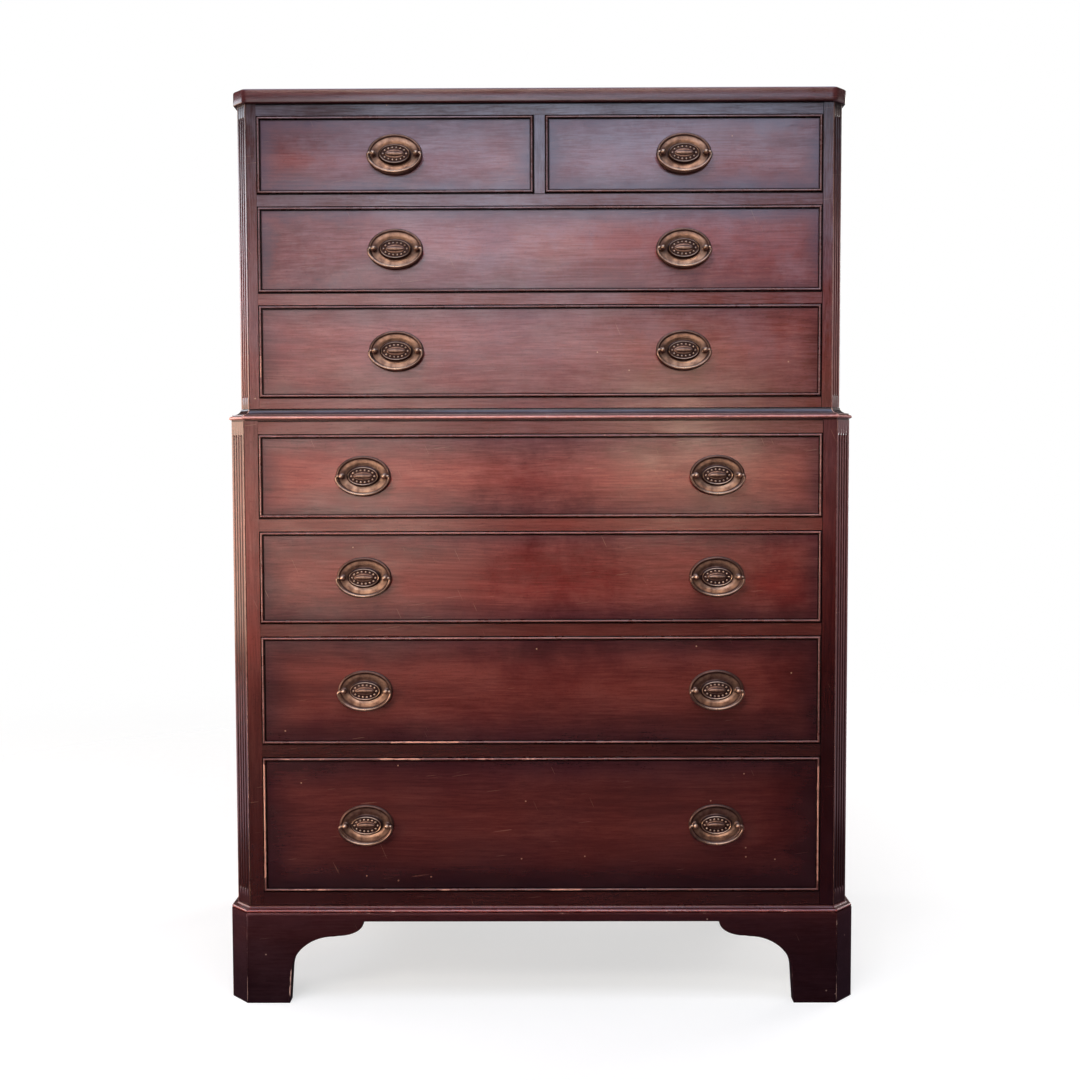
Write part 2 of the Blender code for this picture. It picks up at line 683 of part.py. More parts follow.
def make_drawer(name, centre_x, opening, width, face_y, pulls):
    """One drawer with its front, box, pull plates and bails, on an empty that slides with it."""
    bottom, top = opening
    slide = bpy.data.objects.new(name + "_slide", None)
    slide.location = (centre_x, face_y, (bottom + top) / 2)
    parts.objects.link(slide)
    front_mesh = drawer_front_mesh(name + "_front", width, top - bottom)
    add_part(name + "_front", front_mesh, FRONT_WOOD, parent=slide)
    front_back = face_y + FRONT_THICKNESS + JOINT_GAP
    length = BACK_Y - BACK_THICKNESS - BOX_REAR_CLEARANCE - front_back
    make_box(name + "_box", width, top - bottom, length, slide)
    hinge_y = -JOINT_GAP - POST_STANDOFF
    for label, pull_x in pulls:
        add_part(name + label + "_pull_plate", PLATE_MESH, PLATE_BRASS, (pull_x, -JOINT_GAP, 0), slide)
        add_part(name + label + "_pull_bail", BAIL_MESH, BAIL_BRASS, (pull_x, hinge_y, 0), slide)


def make_drawers():
    """The two small drawers and the six wide ones."""
    upper_width = opening_width(-UPPER_INSET, UPPER_STILE)
    lower_width = opening_width(0, LOWER_STILE)
    small_width = (upper_width - CENTRE_STILE) / 2
    small_x = (small_width + CENTRE_STILE) / 2
    single = [("", 0.0)]
    upper_pair = [("_left", -small_x), ("_right", small_x)]
    lower_pair = [("_left", -LOWER_PULL_SPACING / 2), ("_right", LOWER_PULL_SPACING / 2)]
    row_3, row_2, row_1 = UPPER_OPENINGS
    make_drawer("drawer_1_left", -small_x, row_1, small_width, UPPER_FRONT_Y, single)
    make_drawer("drawer_1_right", small_x, row_1, small_width, UPPER_FRONT_Y, single)
    make_drawer("drawer_2", 0.0, row_2, upper_width, UPPER_FRONT_Y, upper_pair)
    make_drawer("drawer_3", 0.0, row_3, upper_width, UPPER_FRONT_Y, upper_pair)
    for number, opening in zip((7, 6, 5, 4), LOWER_OPENINGS):
        make_drawer("drawer_%d" % number, 0.0, opening, lower_width, FRONT_Y, lower_pair)


def make_case():
    """Both cases: frames, sides and backs."""
    upper_width = opening_width(-UPPER_INSET, UPPER_STILE)
    lower_width = opening_width(0, LOWER_STILE)
    make_frame("upper_front_frame", -UPPER_INSET, upper_width, UPPER_OPENINGS, UPPER_Z, TOP_Z, CENTRE_STILE)
    make_frame("lower_front_frame", 0.0, lower_width, LOWER_OPENINGS, LOWER_Z, WAIST_Z)
    upper_rails = [UPPER_BOTTOM_RAIL] + [UPPER_RAIL] * (len(UPPER_OPENINGS) - 1)
    lower_rails = [LOWER_BOTTOM_RAIL] + [LOWER_RAIL] * (len(LOWER_OPENINGS) - 1)
    for label, side in (("left", -1), ("right", 1)):
        make_side("upper_%s_side" % label, side, -UPPER_INSET, UPPER_STILE, UPPER_OPENINGS, upper_rails,
                  UPPER_FLUTES, UPPER_Z, TOP_Z)
        make_side("lower_%s_side" % label, side, 0.0, LOWER_STILE, LOWER_OPENINGS, lower_rails,
                  LOWER_FLUTES, LOWER_Z, WAIST_Z)
    make_back("upper_back", -UPPER_INSET, UPPER_Z, TOP_Z)
    make_back("lower_back", 0.0, LOWER_Z, WAIST_Z)
    make_partition()


clear_scene()
parts = new_collection("highboy")
cutters = new_collection("highboy_cutters")
CASE_WOOD = finish_material("case_mahogany", (0.085, 0.026, 0.020), 0.35)
FRONT_WOOD = finish_material("drawer_mahogany", (0.125, 0.036, 0.026), 0.32)
BASE_WOOD = finish_material("base_mahogany", (0.040, 0.012, 0.012), 0.38)
PLAIN_WOOD = finish_material("plain_inner_wood", (0.42, 0.27, 0.14), 0.70)
PLATE_BRASS = finish_material("aged_plate_brass", (0.23, 0.14, 0.07), 0.42, 0.9)
BAIL_BRASS = finish_material("aged_bail_brass", (0.27, 0.17, 0.08), 0.38, 0.9)
PLATE_MESH = pull_plate_mesh()
BAIL_MESH = bail_mesh()
make_boards()
make_case()
make_bracket_base()
make_drawers()
bpy.context.view_layer.update()
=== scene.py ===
"""Highboy: the finished look of a two-stage mahogany chest of drawers on bracket feet.

The frame gives every solid, its place and its joints. This script dresses them: eased boards and mouldings,
cock-beaded drawer fronts, oval brass pulls, and finishes with grain, toning, wear and grime, and with
painted shade, painted highlights and a painted sky reflection in their colours.
Metres, +Z up, front towards -Y.
"""

import json
import logging
import math
from dataclasses import dataclass, field
from enum import Enum
from functools import reduce
from itertools import product
from typing import Any, Callable, Sequence

import bmesh
import bpy
from mathutils import Matrix, Vector
from mathutils.geometry import tessellate_polygon

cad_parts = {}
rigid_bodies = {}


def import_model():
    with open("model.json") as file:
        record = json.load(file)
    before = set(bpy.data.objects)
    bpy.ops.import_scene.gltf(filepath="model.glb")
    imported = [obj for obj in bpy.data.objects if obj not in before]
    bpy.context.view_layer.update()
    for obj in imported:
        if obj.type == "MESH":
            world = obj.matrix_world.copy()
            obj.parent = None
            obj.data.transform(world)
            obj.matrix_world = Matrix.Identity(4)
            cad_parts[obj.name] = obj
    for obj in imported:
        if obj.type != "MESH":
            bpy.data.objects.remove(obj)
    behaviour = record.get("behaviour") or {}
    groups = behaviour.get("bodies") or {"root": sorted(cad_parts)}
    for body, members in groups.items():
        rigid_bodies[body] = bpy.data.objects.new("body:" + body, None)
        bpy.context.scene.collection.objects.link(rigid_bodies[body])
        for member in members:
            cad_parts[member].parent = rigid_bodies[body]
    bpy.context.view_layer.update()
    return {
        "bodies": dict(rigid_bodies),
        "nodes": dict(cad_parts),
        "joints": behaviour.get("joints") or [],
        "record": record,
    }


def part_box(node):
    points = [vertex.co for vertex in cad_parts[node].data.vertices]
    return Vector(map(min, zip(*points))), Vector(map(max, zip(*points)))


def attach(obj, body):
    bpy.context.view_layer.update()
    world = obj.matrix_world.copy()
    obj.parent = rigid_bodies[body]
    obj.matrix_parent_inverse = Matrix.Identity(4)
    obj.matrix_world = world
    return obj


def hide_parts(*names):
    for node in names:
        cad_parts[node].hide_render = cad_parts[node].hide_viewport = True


LOG = logging.getLogger("highboy")

Colour = tuple[float, float, float]
Place = tuple[float, float, float]
Point = tuple[float, float]
Marked = tuple[float, float, float]
Row = tuple[float, float, float, float]
Socket = bpy.types.NodeSocket

# Edges: how finely they are rounded and how the wear falls off from their middle
SMOOTH_ANGLE = math.radians(38)
CUT_GROWTH = 2 - math.sqrt(2)
EASE_LIMIT = 0.45
EASE_SLIP = 1.0001
EDGE_WEAR = (1.0, 0.9, 0.55, 0.0)
SLAB_WEAR = (0.0, 0.55, 1.0, 0.55, 0.0)
ROUND_STEPS = 4
ROUND_WEAR_LOSS = 0.45
ROUNDED_POINTS = ROUND_STEPS + 3

# Painted light and shade by height: how dark the lacquer's colour is made at each height above the floor,
# darkest near the floor, lightest at mid height where the light falls most, and darker again near the top
UPPER_SHADE_LEVELS: tuple[Point, ...] = ((0.87, 0.48), (0.95, 0.74), (1.06, 0.68), (1.21, 0.38), (1.33, 0.18),
                                   (1.345, 0.16), (1.355, 0.36))
FRAME_SHADE_LEVELS: tuple[Point, ...] = ((0.0, 0.09), (0.16, 0.13), (0.385, 0.165), (0.57, 0.38), (0.73, 0.64),
                                   *UPPER_SHADE_LEVELS)
STILE_SHADE_LEVELS: tuple[Point, ...] = ((0.0, 0.09), (0.16, 0.12), (0.325, 0.19), (0.40, 0.25), (0.475, 0.37),
                                   (0.55, 0.66), (0.70, 0.72), (0.78, 0.66), *UPPER_SHADE_LEVELS)
DRAWER_SHADE_LEVELS: tuple[Point, ...] = ((0.0, 0.20), (0.17, 0.22), (0.27, 0.34), (0.37, 0.40), (0.48, 0.50),
                                    (0.66, 0.83), (0.80, 0.98), (1.00, 0.93), (1.14, 0.98), (1.28, 0.67),
                                    (1.37, 0.55))
# Cock beads darken less towards the floor, which keeps a painted highlight along them
BEAD_SHADE_LEVELS: tuple[Point, ...] = ((0.0, 0.45), (0.40, 0.55), (0.66, 0.80), (0.80, 0.90), (1.00, 0.66),
                                  (1.37, 0.38))
BASE_SHADE_LEVELS: tuple[Point, ...] = ((0.0, 0.035), (0.06, 0.055), (0.125, 0.100), (0.15, 0.20))
BASE_MOULDING_SHADE_LEVELS: tuple[Point, ...] = ((0.0, 0.62), (0.20, 0.68))
# Above 0.89 m, over the waist moulding's ledge and cove, the colour is made nearly black: painted shade in
# the hollow
MOULDING_SHADE_LEVELS: tuple[Point, ...] = ((0.0, 0.36), (0.20, 0.44), (0.85, 1.0), (0.889, 1.0), (0.890, 0.08),
                                      (0.92, 0.06))


class Grain(Enum):
    """Direction in which the grain of a board runs, as stretches of the texture along X, Y and Z."""

    ACROSS = (1.0, 16.0, 16.0)
    DEEP = (16.0, 1.0, 16.0)
    UPRIGHT = (16.0, 16.0, 1.0)


class Slot(Enum):
    """Material slots of the record."""

    CASE = "case_mahogany"
    DRAWER = "drawer_mahogany"
    BASE = "base_mahogany"
    INNER = "plain_wood"
    PLATE = "plate_brass"
    BAIL = "bail_brass"


class Shows(Enum):
    """How a light acts on the finishes: in the colour of the wood, in the polish, or in both."""

    BOTH = (True, True)
    COLOUR = (True, False)
    SHEEN = (False, True)


class Shape:
    """Points and faces of one piece, with how worn each point is and how much grime and painted shade it has.
    """

    def __init__(self) -> None:
        """Start with nothing."""
        self.points: list[Vector] = []
        self.faces: list[tuple[int, ...]] = []
        self.wear: list[float] = []
        self.grime_and_shade: list[float] = []

    def ring(self, points: Sequence[Any], wear: Any = 0.0, grime_and_shade: Any = 0.0) -> list[int]:
        """Add a row of points.

        Args:
            points: places in metres.
            wear: wear of the whole row, or one value for each point.
            grime_and_shade: grime and painted shade of the whole row, or one value for each point.

        Returns:
            The numbers of the new points.
        """
        start = len(self.points)
        self.points += [Vector(point) for point in points]
        for marks, value in ((self.wear, wear), (self.grime_and_shade, grime_and_shade)):
            marks.extend(value if isinstance(value, (list, tuple)) else [value] * len(points))
        return list(range(start, len(self.points)))

    def loft(self, rows: Sequence[Sequence[int]]) -> None:
        """Join each row with the next one by four-sided faces.

        Args:
            rows: rows of point numbers in order, equally long and each running round.
        """
        for first, second in zip(rows, rows[1:]):
            for index in range(len(first)):
                after = (index + 1) % len(first)
                self.faces.append((first[index], first[after], second[after], second[index]))

    def fill(self, row: Sequence[int]) -> None:
        """Close a flat row that runs round, whatever its outline.

        Args:
            row: numbers of the outline's points.
        """
        outline = [self.points[number] for number in row]
        for triangle in tessellate_polygon([outline]):
            self.faces.append(tuple(row[corner] for corner in triangle))

    def solid(self, rows: Sequence[Sequence[int]]) -> None:
        """Join the rows and close both ends.

        Args:
            rows: rows of point numbers in order, equally long and each running round.
        """
        self.loft(rows)
        self.fill(rows[0])
        self.fill(rows[-1])

    def join(self, other: "Shape", place: Matrix) -> None:
        """Add another shape.

        Args:
            other: the shape to add.
            place: where it goes.
        """
        start = len(self.points)
        self.points += [place @ point for point in other.points]
        self.faces += [tuple(number + start for number in face) for face in other.faces]
        self.wear += other.wear
        self.grime_and_shade += other.grime_and_shade

    def rub(self, low: Sequence[float], high: Sequence[float], amount: float) -> None:
        """Wear the edges more within a box.

        Args:
            low: lowest corner of the box.
            high: highest corner of it.
            amount: wear of the edges there.
        """
        for index, point in enumerate(self.points):
            inside = all(low[axis] <= point[axis] <= high[axis] for axis in range(3))
            if inside and self.wear[index] > 0.0:
                self.wear[index] = max(self.wear[index], amount)

    def to_object(self, name: str, material: bpy.types.Material) -> bpy.types.Object:
        """Turn the shape into an object of the scene.

        Args:
            name: name of the piece.
            material: its finish.

        Returns:
            The new object.
        """
        mesh = bpy.data.meshes.new(name)
        mesh.from_pydata(self.points, [], self.faces)
        work = bmesh.new()
        work.from_mesh(mesh)
        bmesh.ops.recalc_face_normals(work, faces=work.faces)
        work.to_mesh(mesh)
        work.free()
        mesh.shade_smooth()
        mesh.set_sharp_from_angle(angle=SMOOTH_ANGLE)
        for label, values in (("wear", self.wear), ("grime_and_shade", self.grime_and_shade)):
            mesh.attributes.new(label, "FLOAT", "POINT").data.foreach_set("value", values)
        mesh.materials.append(material)
        item = bpy.data.objects.new(name, mesh)
        bpy.context.scene.collection.objects.link(item)
        return item


def rounded(point: Vector, low: Sequence[float], high: Sequence[float], ease: float) -> Vector:
    """Point of a box, drawn in onto the box's rounded edges.

    Args:
        point: the point.
        low: lowest corner of the box.
        high: highest corner of it.
        ease: radius of its edges.

    Returns:
        The point on the rounded box.
    """
    core = Vector([min(max(point[axis], low[axis] + ease), high[axis] - ease) for axis in range(3)])
    away = point - core
    return core + away.normalized() * ease if away.length > ease * EASE_SLIP else point


def eased_board(low: Sequence[float], high: Sequence[float], ease: float, fade: float, wear: float) -> Shape:
    """Board with rounded edges, worn along them.

    Args:
        low: lowest corner.
        high: highest corner.
        ease: radius of the edges.
        fade: how far the wear reaches onto the faces.
        wear: wear along the edges.

    Returns:
        The shape of the board.
    """
    ease = min(ease, *(EASE_LIMIT * (high[axis] - low[axis]) for axis in range(3)))
    offsets = (0.0, ease * (1 - math.tan(math.pi / 8)), ease, ease + fade)
    cuts = []
    for axis in range(3):
        near = [step for step in zip(offsets, EDGE_WEAR) if step[0] < (high[axis] - low[axis]) / 2]
        cuts.append([(low[axis] + offset, mark) for offset, mark in near]
                    + [(high[axis] - offset, mark) for offset, mark in reversed(near)])
    counts = [len(cut) for cut in cuts]
    shape = Shape()
    numbers: dict[tuple[int, ...], int] = {}
    for key in product(*(range(count) for count in counts)):
        if any(step in (0, count - 1) for step, count in zip(key, counts)):
            spots = [cut[step] for cut, step in zip(cuts, key)]
            point = rounded(Vector([place for place, _ in spots]), low, high, ease)
            numbers[key] = shape.ring([point], sorted(mark for _, mark in spots)[1] * wear)[0]
    for axis in range(3):
        across, along = (axis + 1) % 3, (axis + 2) % 3
        ends = (0, counts[axis] - 1)
        for end, first, second in product(ends, range(counts[across] - 1), range(counts[along] - 1)):
            corners = []
            for one, two in ((0, 0), (1, 0), (1, 1), (0, 1)):
                key = [end] * 3
                key[across] = first + one
                key[along] = second + two
                corners.append(numbers[tuple(key)])
            shape.faces.append(tuple(corners))
    return shape


def eased_loop(corners: Sequence[Point], eases: Sequence[float], fade: float) -> list[Marked]:
    """Outline whose corners are rounded, each point with its wear.

    Args:
        corners: corner points of the outline.
        eases: rounding of each corner; 0 keeps it sharp.
        fade: how far the wear reaches beyond the rounding.

    Returns:
        Points of the outline as X, Y and wear.
    """
    loop: list[Marked] = []
    for index, (corner, ease) in enumerate(zip(corners, eases)):
        if not ease:
            loop.append((*corner, 0.0))
            continue
        middle = Vector(corner)
        before = (Vector(corners[index - 1]) - middle).normalized()
        after = (Vector(corners[(index + 1) % len(corners)]) - middle).normalized()
        loop.append((*(middle + before * (ease + fade)), 0.0))
        for step in range(ROUND_STEPS + 1):
            share = step / ROUND_STEPS
            point = middle + before * ease * (1 - share) ** 2 + after * ease * share ** 2
            loop.append((*point, 1.0 - ROUND_WEAR_LOSS * abs(2 * share - 1)))
        loop.append((*(middle + after * (ease + fade)), 0.0))
    return loop


def inset_outline(outline: Sequence[Point], distance: float) -> list[Point]:
    """Outline moved inwards; it runs anticlockwise.

    Args:
        outline: corner points.
        distance: how far each side moves in.

    Returns:
        The moved points.
    """
    moved = []
    for index, point in enumerate(outline):
        here = Vector(point)
        before = (here - Vector(outline[index - 1])).normalized()
        after = (Vector(outline[(index + 1) % len(outline)]) - here).normalized()
        first, second = Vector((-before.y, before.x)), Vector((-after.y, after.x))
        moved.append(tuple(here + (first + second) / (1 + first.dot(second)) * distance))
    return moved


def full_turn(sides: int) -> list[float]:
    """Angles of the corners of a round piece with this many sides."""
    return [math.tau * side / sides for side in range(sides)]


def turned(profile: Sequence[Row], sides: int) -> Shape:
    """Turned piece about the Y axis, standing out towards -Y.

    Args:
        profile: radius, height, wear, and grime with painted shade, from the foot to the tip.
        sides: number of sides.

    Returns:
        The shape.
    """
    shape = Shape()
    rows = []
    for radius, height, wear, grime_and_shade in profile:
        points = [(radius * math.cos(turn), -height, radius * math.sin(turn)) for turn in full_turn(sides)]
        rows.append(shape.ring(points, wear, grime_and_shade))
    shape.solid(rows)
    return shape


def bent_rod(route: Sequence[Row], sides: int) -> Shape:
    """Round rod along a route in the XZ plane.

    Args:
        route: X, Z, radius and wear along its middle line.
        sides: number of sides.

    Returns:
        The shape.
    """
    shape = Shape()
    rows = []
    out = Vector((0, -1, 0))
    turns = full_turn(sides)
    line = [Vector((x, 0.0, z)) for x, z, _, _ in route]
    for index, (point, (_, _, radius, wear)) in enumerate(zip(line, route)):
        ahead = line[min(index + 1, len(line) - 1)] - line[max(index - 1, 0)]
        across = ahead.normalized().cross(-out)
        ring = [point + radius * (math.cos(turn) * across + math.sin(turn) * out) for turn in turns]
        rows.append(shape.ring(ring, wear))
    shape.solid(rows)
    return shape


@dataclass(frozen=True)
class Noise:
    """Settings of a noise: scale, number of finer layers, and how strong these are."""

    scale: float
    detail: float = 2.0
    roughness: float = 0.5


@dataclass(frozen=True)
class Fade:
    """Smooth change from low, where a measure is at start, to high, where it is at end."""

    start: float
    end: float
    low: float = 0.0
    high: float = 1.0


class Nodes:
    """Builds the nodes of one material."""

    def __init__(self, name: str) -> None:
        """Start a material with its own shader.

        Args:
            name: name of the material.
        """
        self.material = bpy.data.materials.new(name)
        self.material.use_nodes = True
        self.tree = self.material.node_tree
        self.shader = self.tree.nodes["Principled BSDF"]

    def add(self, kind: str, settings: dict[str, Any] | None = None, **sockets: Any) -> bpy.types.Node:
        """Add a node.

        Args:
            kind: type of node, without its usual first word.
            settings: options of the node.
            sockets: values or links of its sockets; an underscore stands for a space.

        Returns:
            The node.
        """
        node = self.tree.nodes.new("ShaderNode" + kind)
        for label, value in (settings or {}).items():
            setattr(node, label, value)
        for label, value in sockets.items():
            self.feed(node.inputs[label.replace("_", " ")], value)
        return node

    def feed(self, socket: Socket, value: Any) -> None:
        """Link or set one socket.

        Args:
            socket: the socket.
            value: what it gets: a number, a colour, a vector or another socket.
        """
        if isinstance(value, Socket):
            self.tree.links.new(value, socket)
        else:
            socket.default_value = value

    def reckon(self, kind: str, operation: str, values: Sequence[Any]) -> Socket:
        """Result of one step of arithmetic.

        Args:
            kind: type of node that reckons.
            operation: what to do.
            values: numbers, vectors or sockets.

        Returns:
            The result.
        """
        node = self.add(kind, {"operation": operation})
        for socket, value in zip(node.inputs, values):
            self.feed(socket, value)
        return node.outputs[0]

    def maths(self, operation: str, *values: Any) -> Socket:
        """Result of one step of arithmetic with numbers."""
        return self.reckon("Math", operation, values)

    def largest(self, values: Sequence[Socket]) -> Socket:
        """Largest of some values."""
        return reduce(lambda first, second: self.maths("MAXIMUM", first, second), values)

    def vector(self, operation: str, *values: Any) -> Socket:
        """Result of one step of arithmetic with vectors."""
        return self.reckon("VectorMath", operation, values)

    def noise(self, place: Any, noise: Noise, output: int = 0) -> Socket:
        """Value or colour of a noise.

        Args:
            place: where it is read.
            noise: its settings.
            output: 0 for a value, 1 for a colour.

        Returns:
            A value, or colour channels, of about 0.3 to 0.7.
        """
        node = self.add("TexNoise", Vector=place, Scale=noise.scale, Detail=noise.detail,
                        Roughness=noise.roughness)
        return node.outputs[output]

    def fade(self, value: Any, fade: Fade) -> Socket:
        """Smooth change along a measure."""
        return self.add("MapRange", {"interpolation_type": "SMOOTHSTEP"}, Value=value, From_Min=fade.start,
                        From_Max=fade.end, To_Min=fade.low, To_Max=fade.high).outputs[0]

    def mix(self, share: Any, first: Any, second: Any, blend: str = "MIX") -> Socket:
        """Mix of two colours.

        Args:
            share: share of the second colour.
            first: first colour.
            second: second colour.
            blend: how they mix.

        Returns:
            The mixed colour.
        """
        node = self.add("Mix", {"data_type": "RGBA", "blend_type": blend})
        self.feed(node.inputs[0], share)
        for socket, colour in ((node.inputs[6], first), (node.inputs[7], second)):
            self.feed(socket, (*colour, 1.0) if isinstance(colour, tuple) else colour)
        return node.outputs[2]

    def ramp(self, value: Any, stops: Sequence[tuple[float, Colour]]) -> Socket:
        """Colour read from a row of stops.

        Args:
            value: where it is read, from 0 to 1.
            stops: places and colours.

        Returns:
            The colour.
        """
        node = self.add("ValToRGB", Fac=value)
        elements = node.color_ramp.elements
        while len(elements) < len(stops):
            elements.new(1.0)
        for element, (place, colour) in zip(elements, stops):
            element.position = place
            element.color = (*colour, 1.0)
        return node.outputs[0]

    def blend(self, share: Any, first: bpy.types.Node, second: bpy.types.Node) -> bpy.types.Node:
        """Mix of two shaders.

        Args:
            share: share of the second one.
            first: first shader.
            second: second shader.

        Returns:
            The mixed shader.
        """
        node = self.add("MixShader", Fac=share)
        self.tree.links.new(first.outputs[0], node.inputs[1])
        self.tree.links.new(second.outputs[0], node.inputs[2])
        return node

    def mark(self, label: str) -> Socket:
        """Value stored on the points of the piece, 0 where it has none."""
        return self.add("Attribute", {"attribute_name": label}).outputs["Fac"]

    def place(self) -> Socket:
        """Place on the piece in metres."""
        return self.add("TexCoord").outputs["Object"]

    def split(self, vector: Socket) -> list[Socket]:
        """X, Y and Z of a vector."""
        return list(self.add("SeparateXYZ", Vector=vector).outputs)

    def bump(self, height: Socket, strength: float, distance: float) -> Socket:
        """Fine relief of the surface."""
        return self.add("Bump", Strength=strength, Distance=distance, Height=height).outputs[0]

    def finish(self, **sockets: Any) -> bpy.types.Material:
        """Feed the shader.

        Args:
            sockets: values or links of its sockets; an underscore stands for a space.

        Returns:
            The material.
        """
        for label, value in sockets.items():
            self.feed(self.shader.inputs[label.replace("_", " ")], value)
        return self.material


@dataclass(frozen=True)
class Patch:
    """Place on a drawer front that thins the painted sky reflection, or darkens the wood (as painted shade on
    the lower drawers): centre and half sizes along X and Z.
    """

    x: float
    z: float
    half_width: float
    half_height: float


@dataclass
class Ground:
    """Places on a lacquered board and the noises of its wood, which all layers of the lacquer share."""

    nodes: Nodes
    seeded: Socket
    across: Socket
    height: Socket
    figure: Socket
    streaks: Socket
    pores: Socket
    cloud: Socket
    mottle: Socket


# Grain of the lacquered boards
SEED_TURN = (1.0, 0.7, 1.3)
WANDER = Noise(2.4)
WANDER_REACH = 0.35
FIGURE = Noise(1.6, 3.0, 0.55)
STREAKS = Noise(22.0, 4.0, 0.7)
PORES = Noise(70.0, 2.0, 0.6)
CLOUD = Noise(3.6, 3.0, 0.6)
MOTTLE = Noise(17.0, 4.0, 0.65)
GRIT = Noise(330.0, 3.0, 0.7)
RIBBON_SHARE = 0.50
RIBBON_STOPS = (0.40, 0.50, 0.60)
CLOUD_SHARE = Fade(0.40, 0.66, 0.0, 0.40)
CLOUD_TINT = (1.05, 0.74, 0.70)
PORE_SHARE = Fade(0.58, 0.70, 0.0, 0.35)
PORE_TINT = (0.36, 0.31, 0.30)
GRIT_SHARE = Fade(0.54, 0.72, 0.0, 0.5)
GRIT_TINT = (0.50, 0.42, 0.42)

# Clouded lacquer painted bluish as the sky's reflection, toned edges, and patches of the lacquer: some thin
# the painted reflection, others darken the wood
PAINTED_SKY_RISE = (0.72, 1.30)
PAINTED_SKY_ACROSS = Fade(-0.44, 0.10, 0.62, 1.0)
PAINTED_SKY_CLOUD = Fade(0.32, 0.68)
PAINTED_SKY_MOTTLE = Fade(0.34, 0.66, -0.22, 0.22)
PAINTED_SKY_STREAKS = Fade(0.34, 0.66, -0.20, 0.20)
EDGE_SKY_RISE = (0.98, 1.24)
TONED_START = -0.012
TONED_CORNER = 0.015
TONED_UNEVEN = 0.04
PATCH_EDGE = Fade(0.9, 2.5, 1.0, 0.0)
PATCH_UNEVEN = 2.4
THIN_SKY_SHARE = 0.65

# Scratches, specks and wear of the lacquer
SCRATCH = Noise(1.0, 1.0)
SCRATCH_STRETCH = (16.0, 16.0, 640.0)
SCRATCH_RUNS: tuple[Point, ...] = ((0.12, 0.77), (-1.15, 0.79))
SCRATCH_SOFTNESS = 0.03
SCRATCH_SHARE = 0.24
SPECK_SPACING = 21.0
SPECK_DOT = Fade(0.012, 0.030, 0.75, 0.0)
CHIPS = Noise(85.0, 5.0, 0.7)
BARE_SOFTNESS = 0.16
WORN_AT_ALL = Fade(0.0, 0.15)
WORN_THIN = Fade(0.62, 1.10, 0.0, 0.6)
THIN_TINT = (1.9, 1.9, 1.9)

# Polish and relief of the lacquer
ROUGH_MOTTLE = 0.20
ROUGH_BARE = 0.25
SMUDGE = Noise(7.0, 6.0, 0.72)
SMUDGE_STRETCH = (1.0, 1.0, 2.4)
SMUDGE_STREAKS = 0.30
SMUDGE_RANGE = (0.38, 0.62)
GRIME_AND_SHADE_DULL = 0.9
PORE_RELIEF = -0.35
LACQUER_RELIEF = 0.13
RELIEF_DEPTH = 0.0006


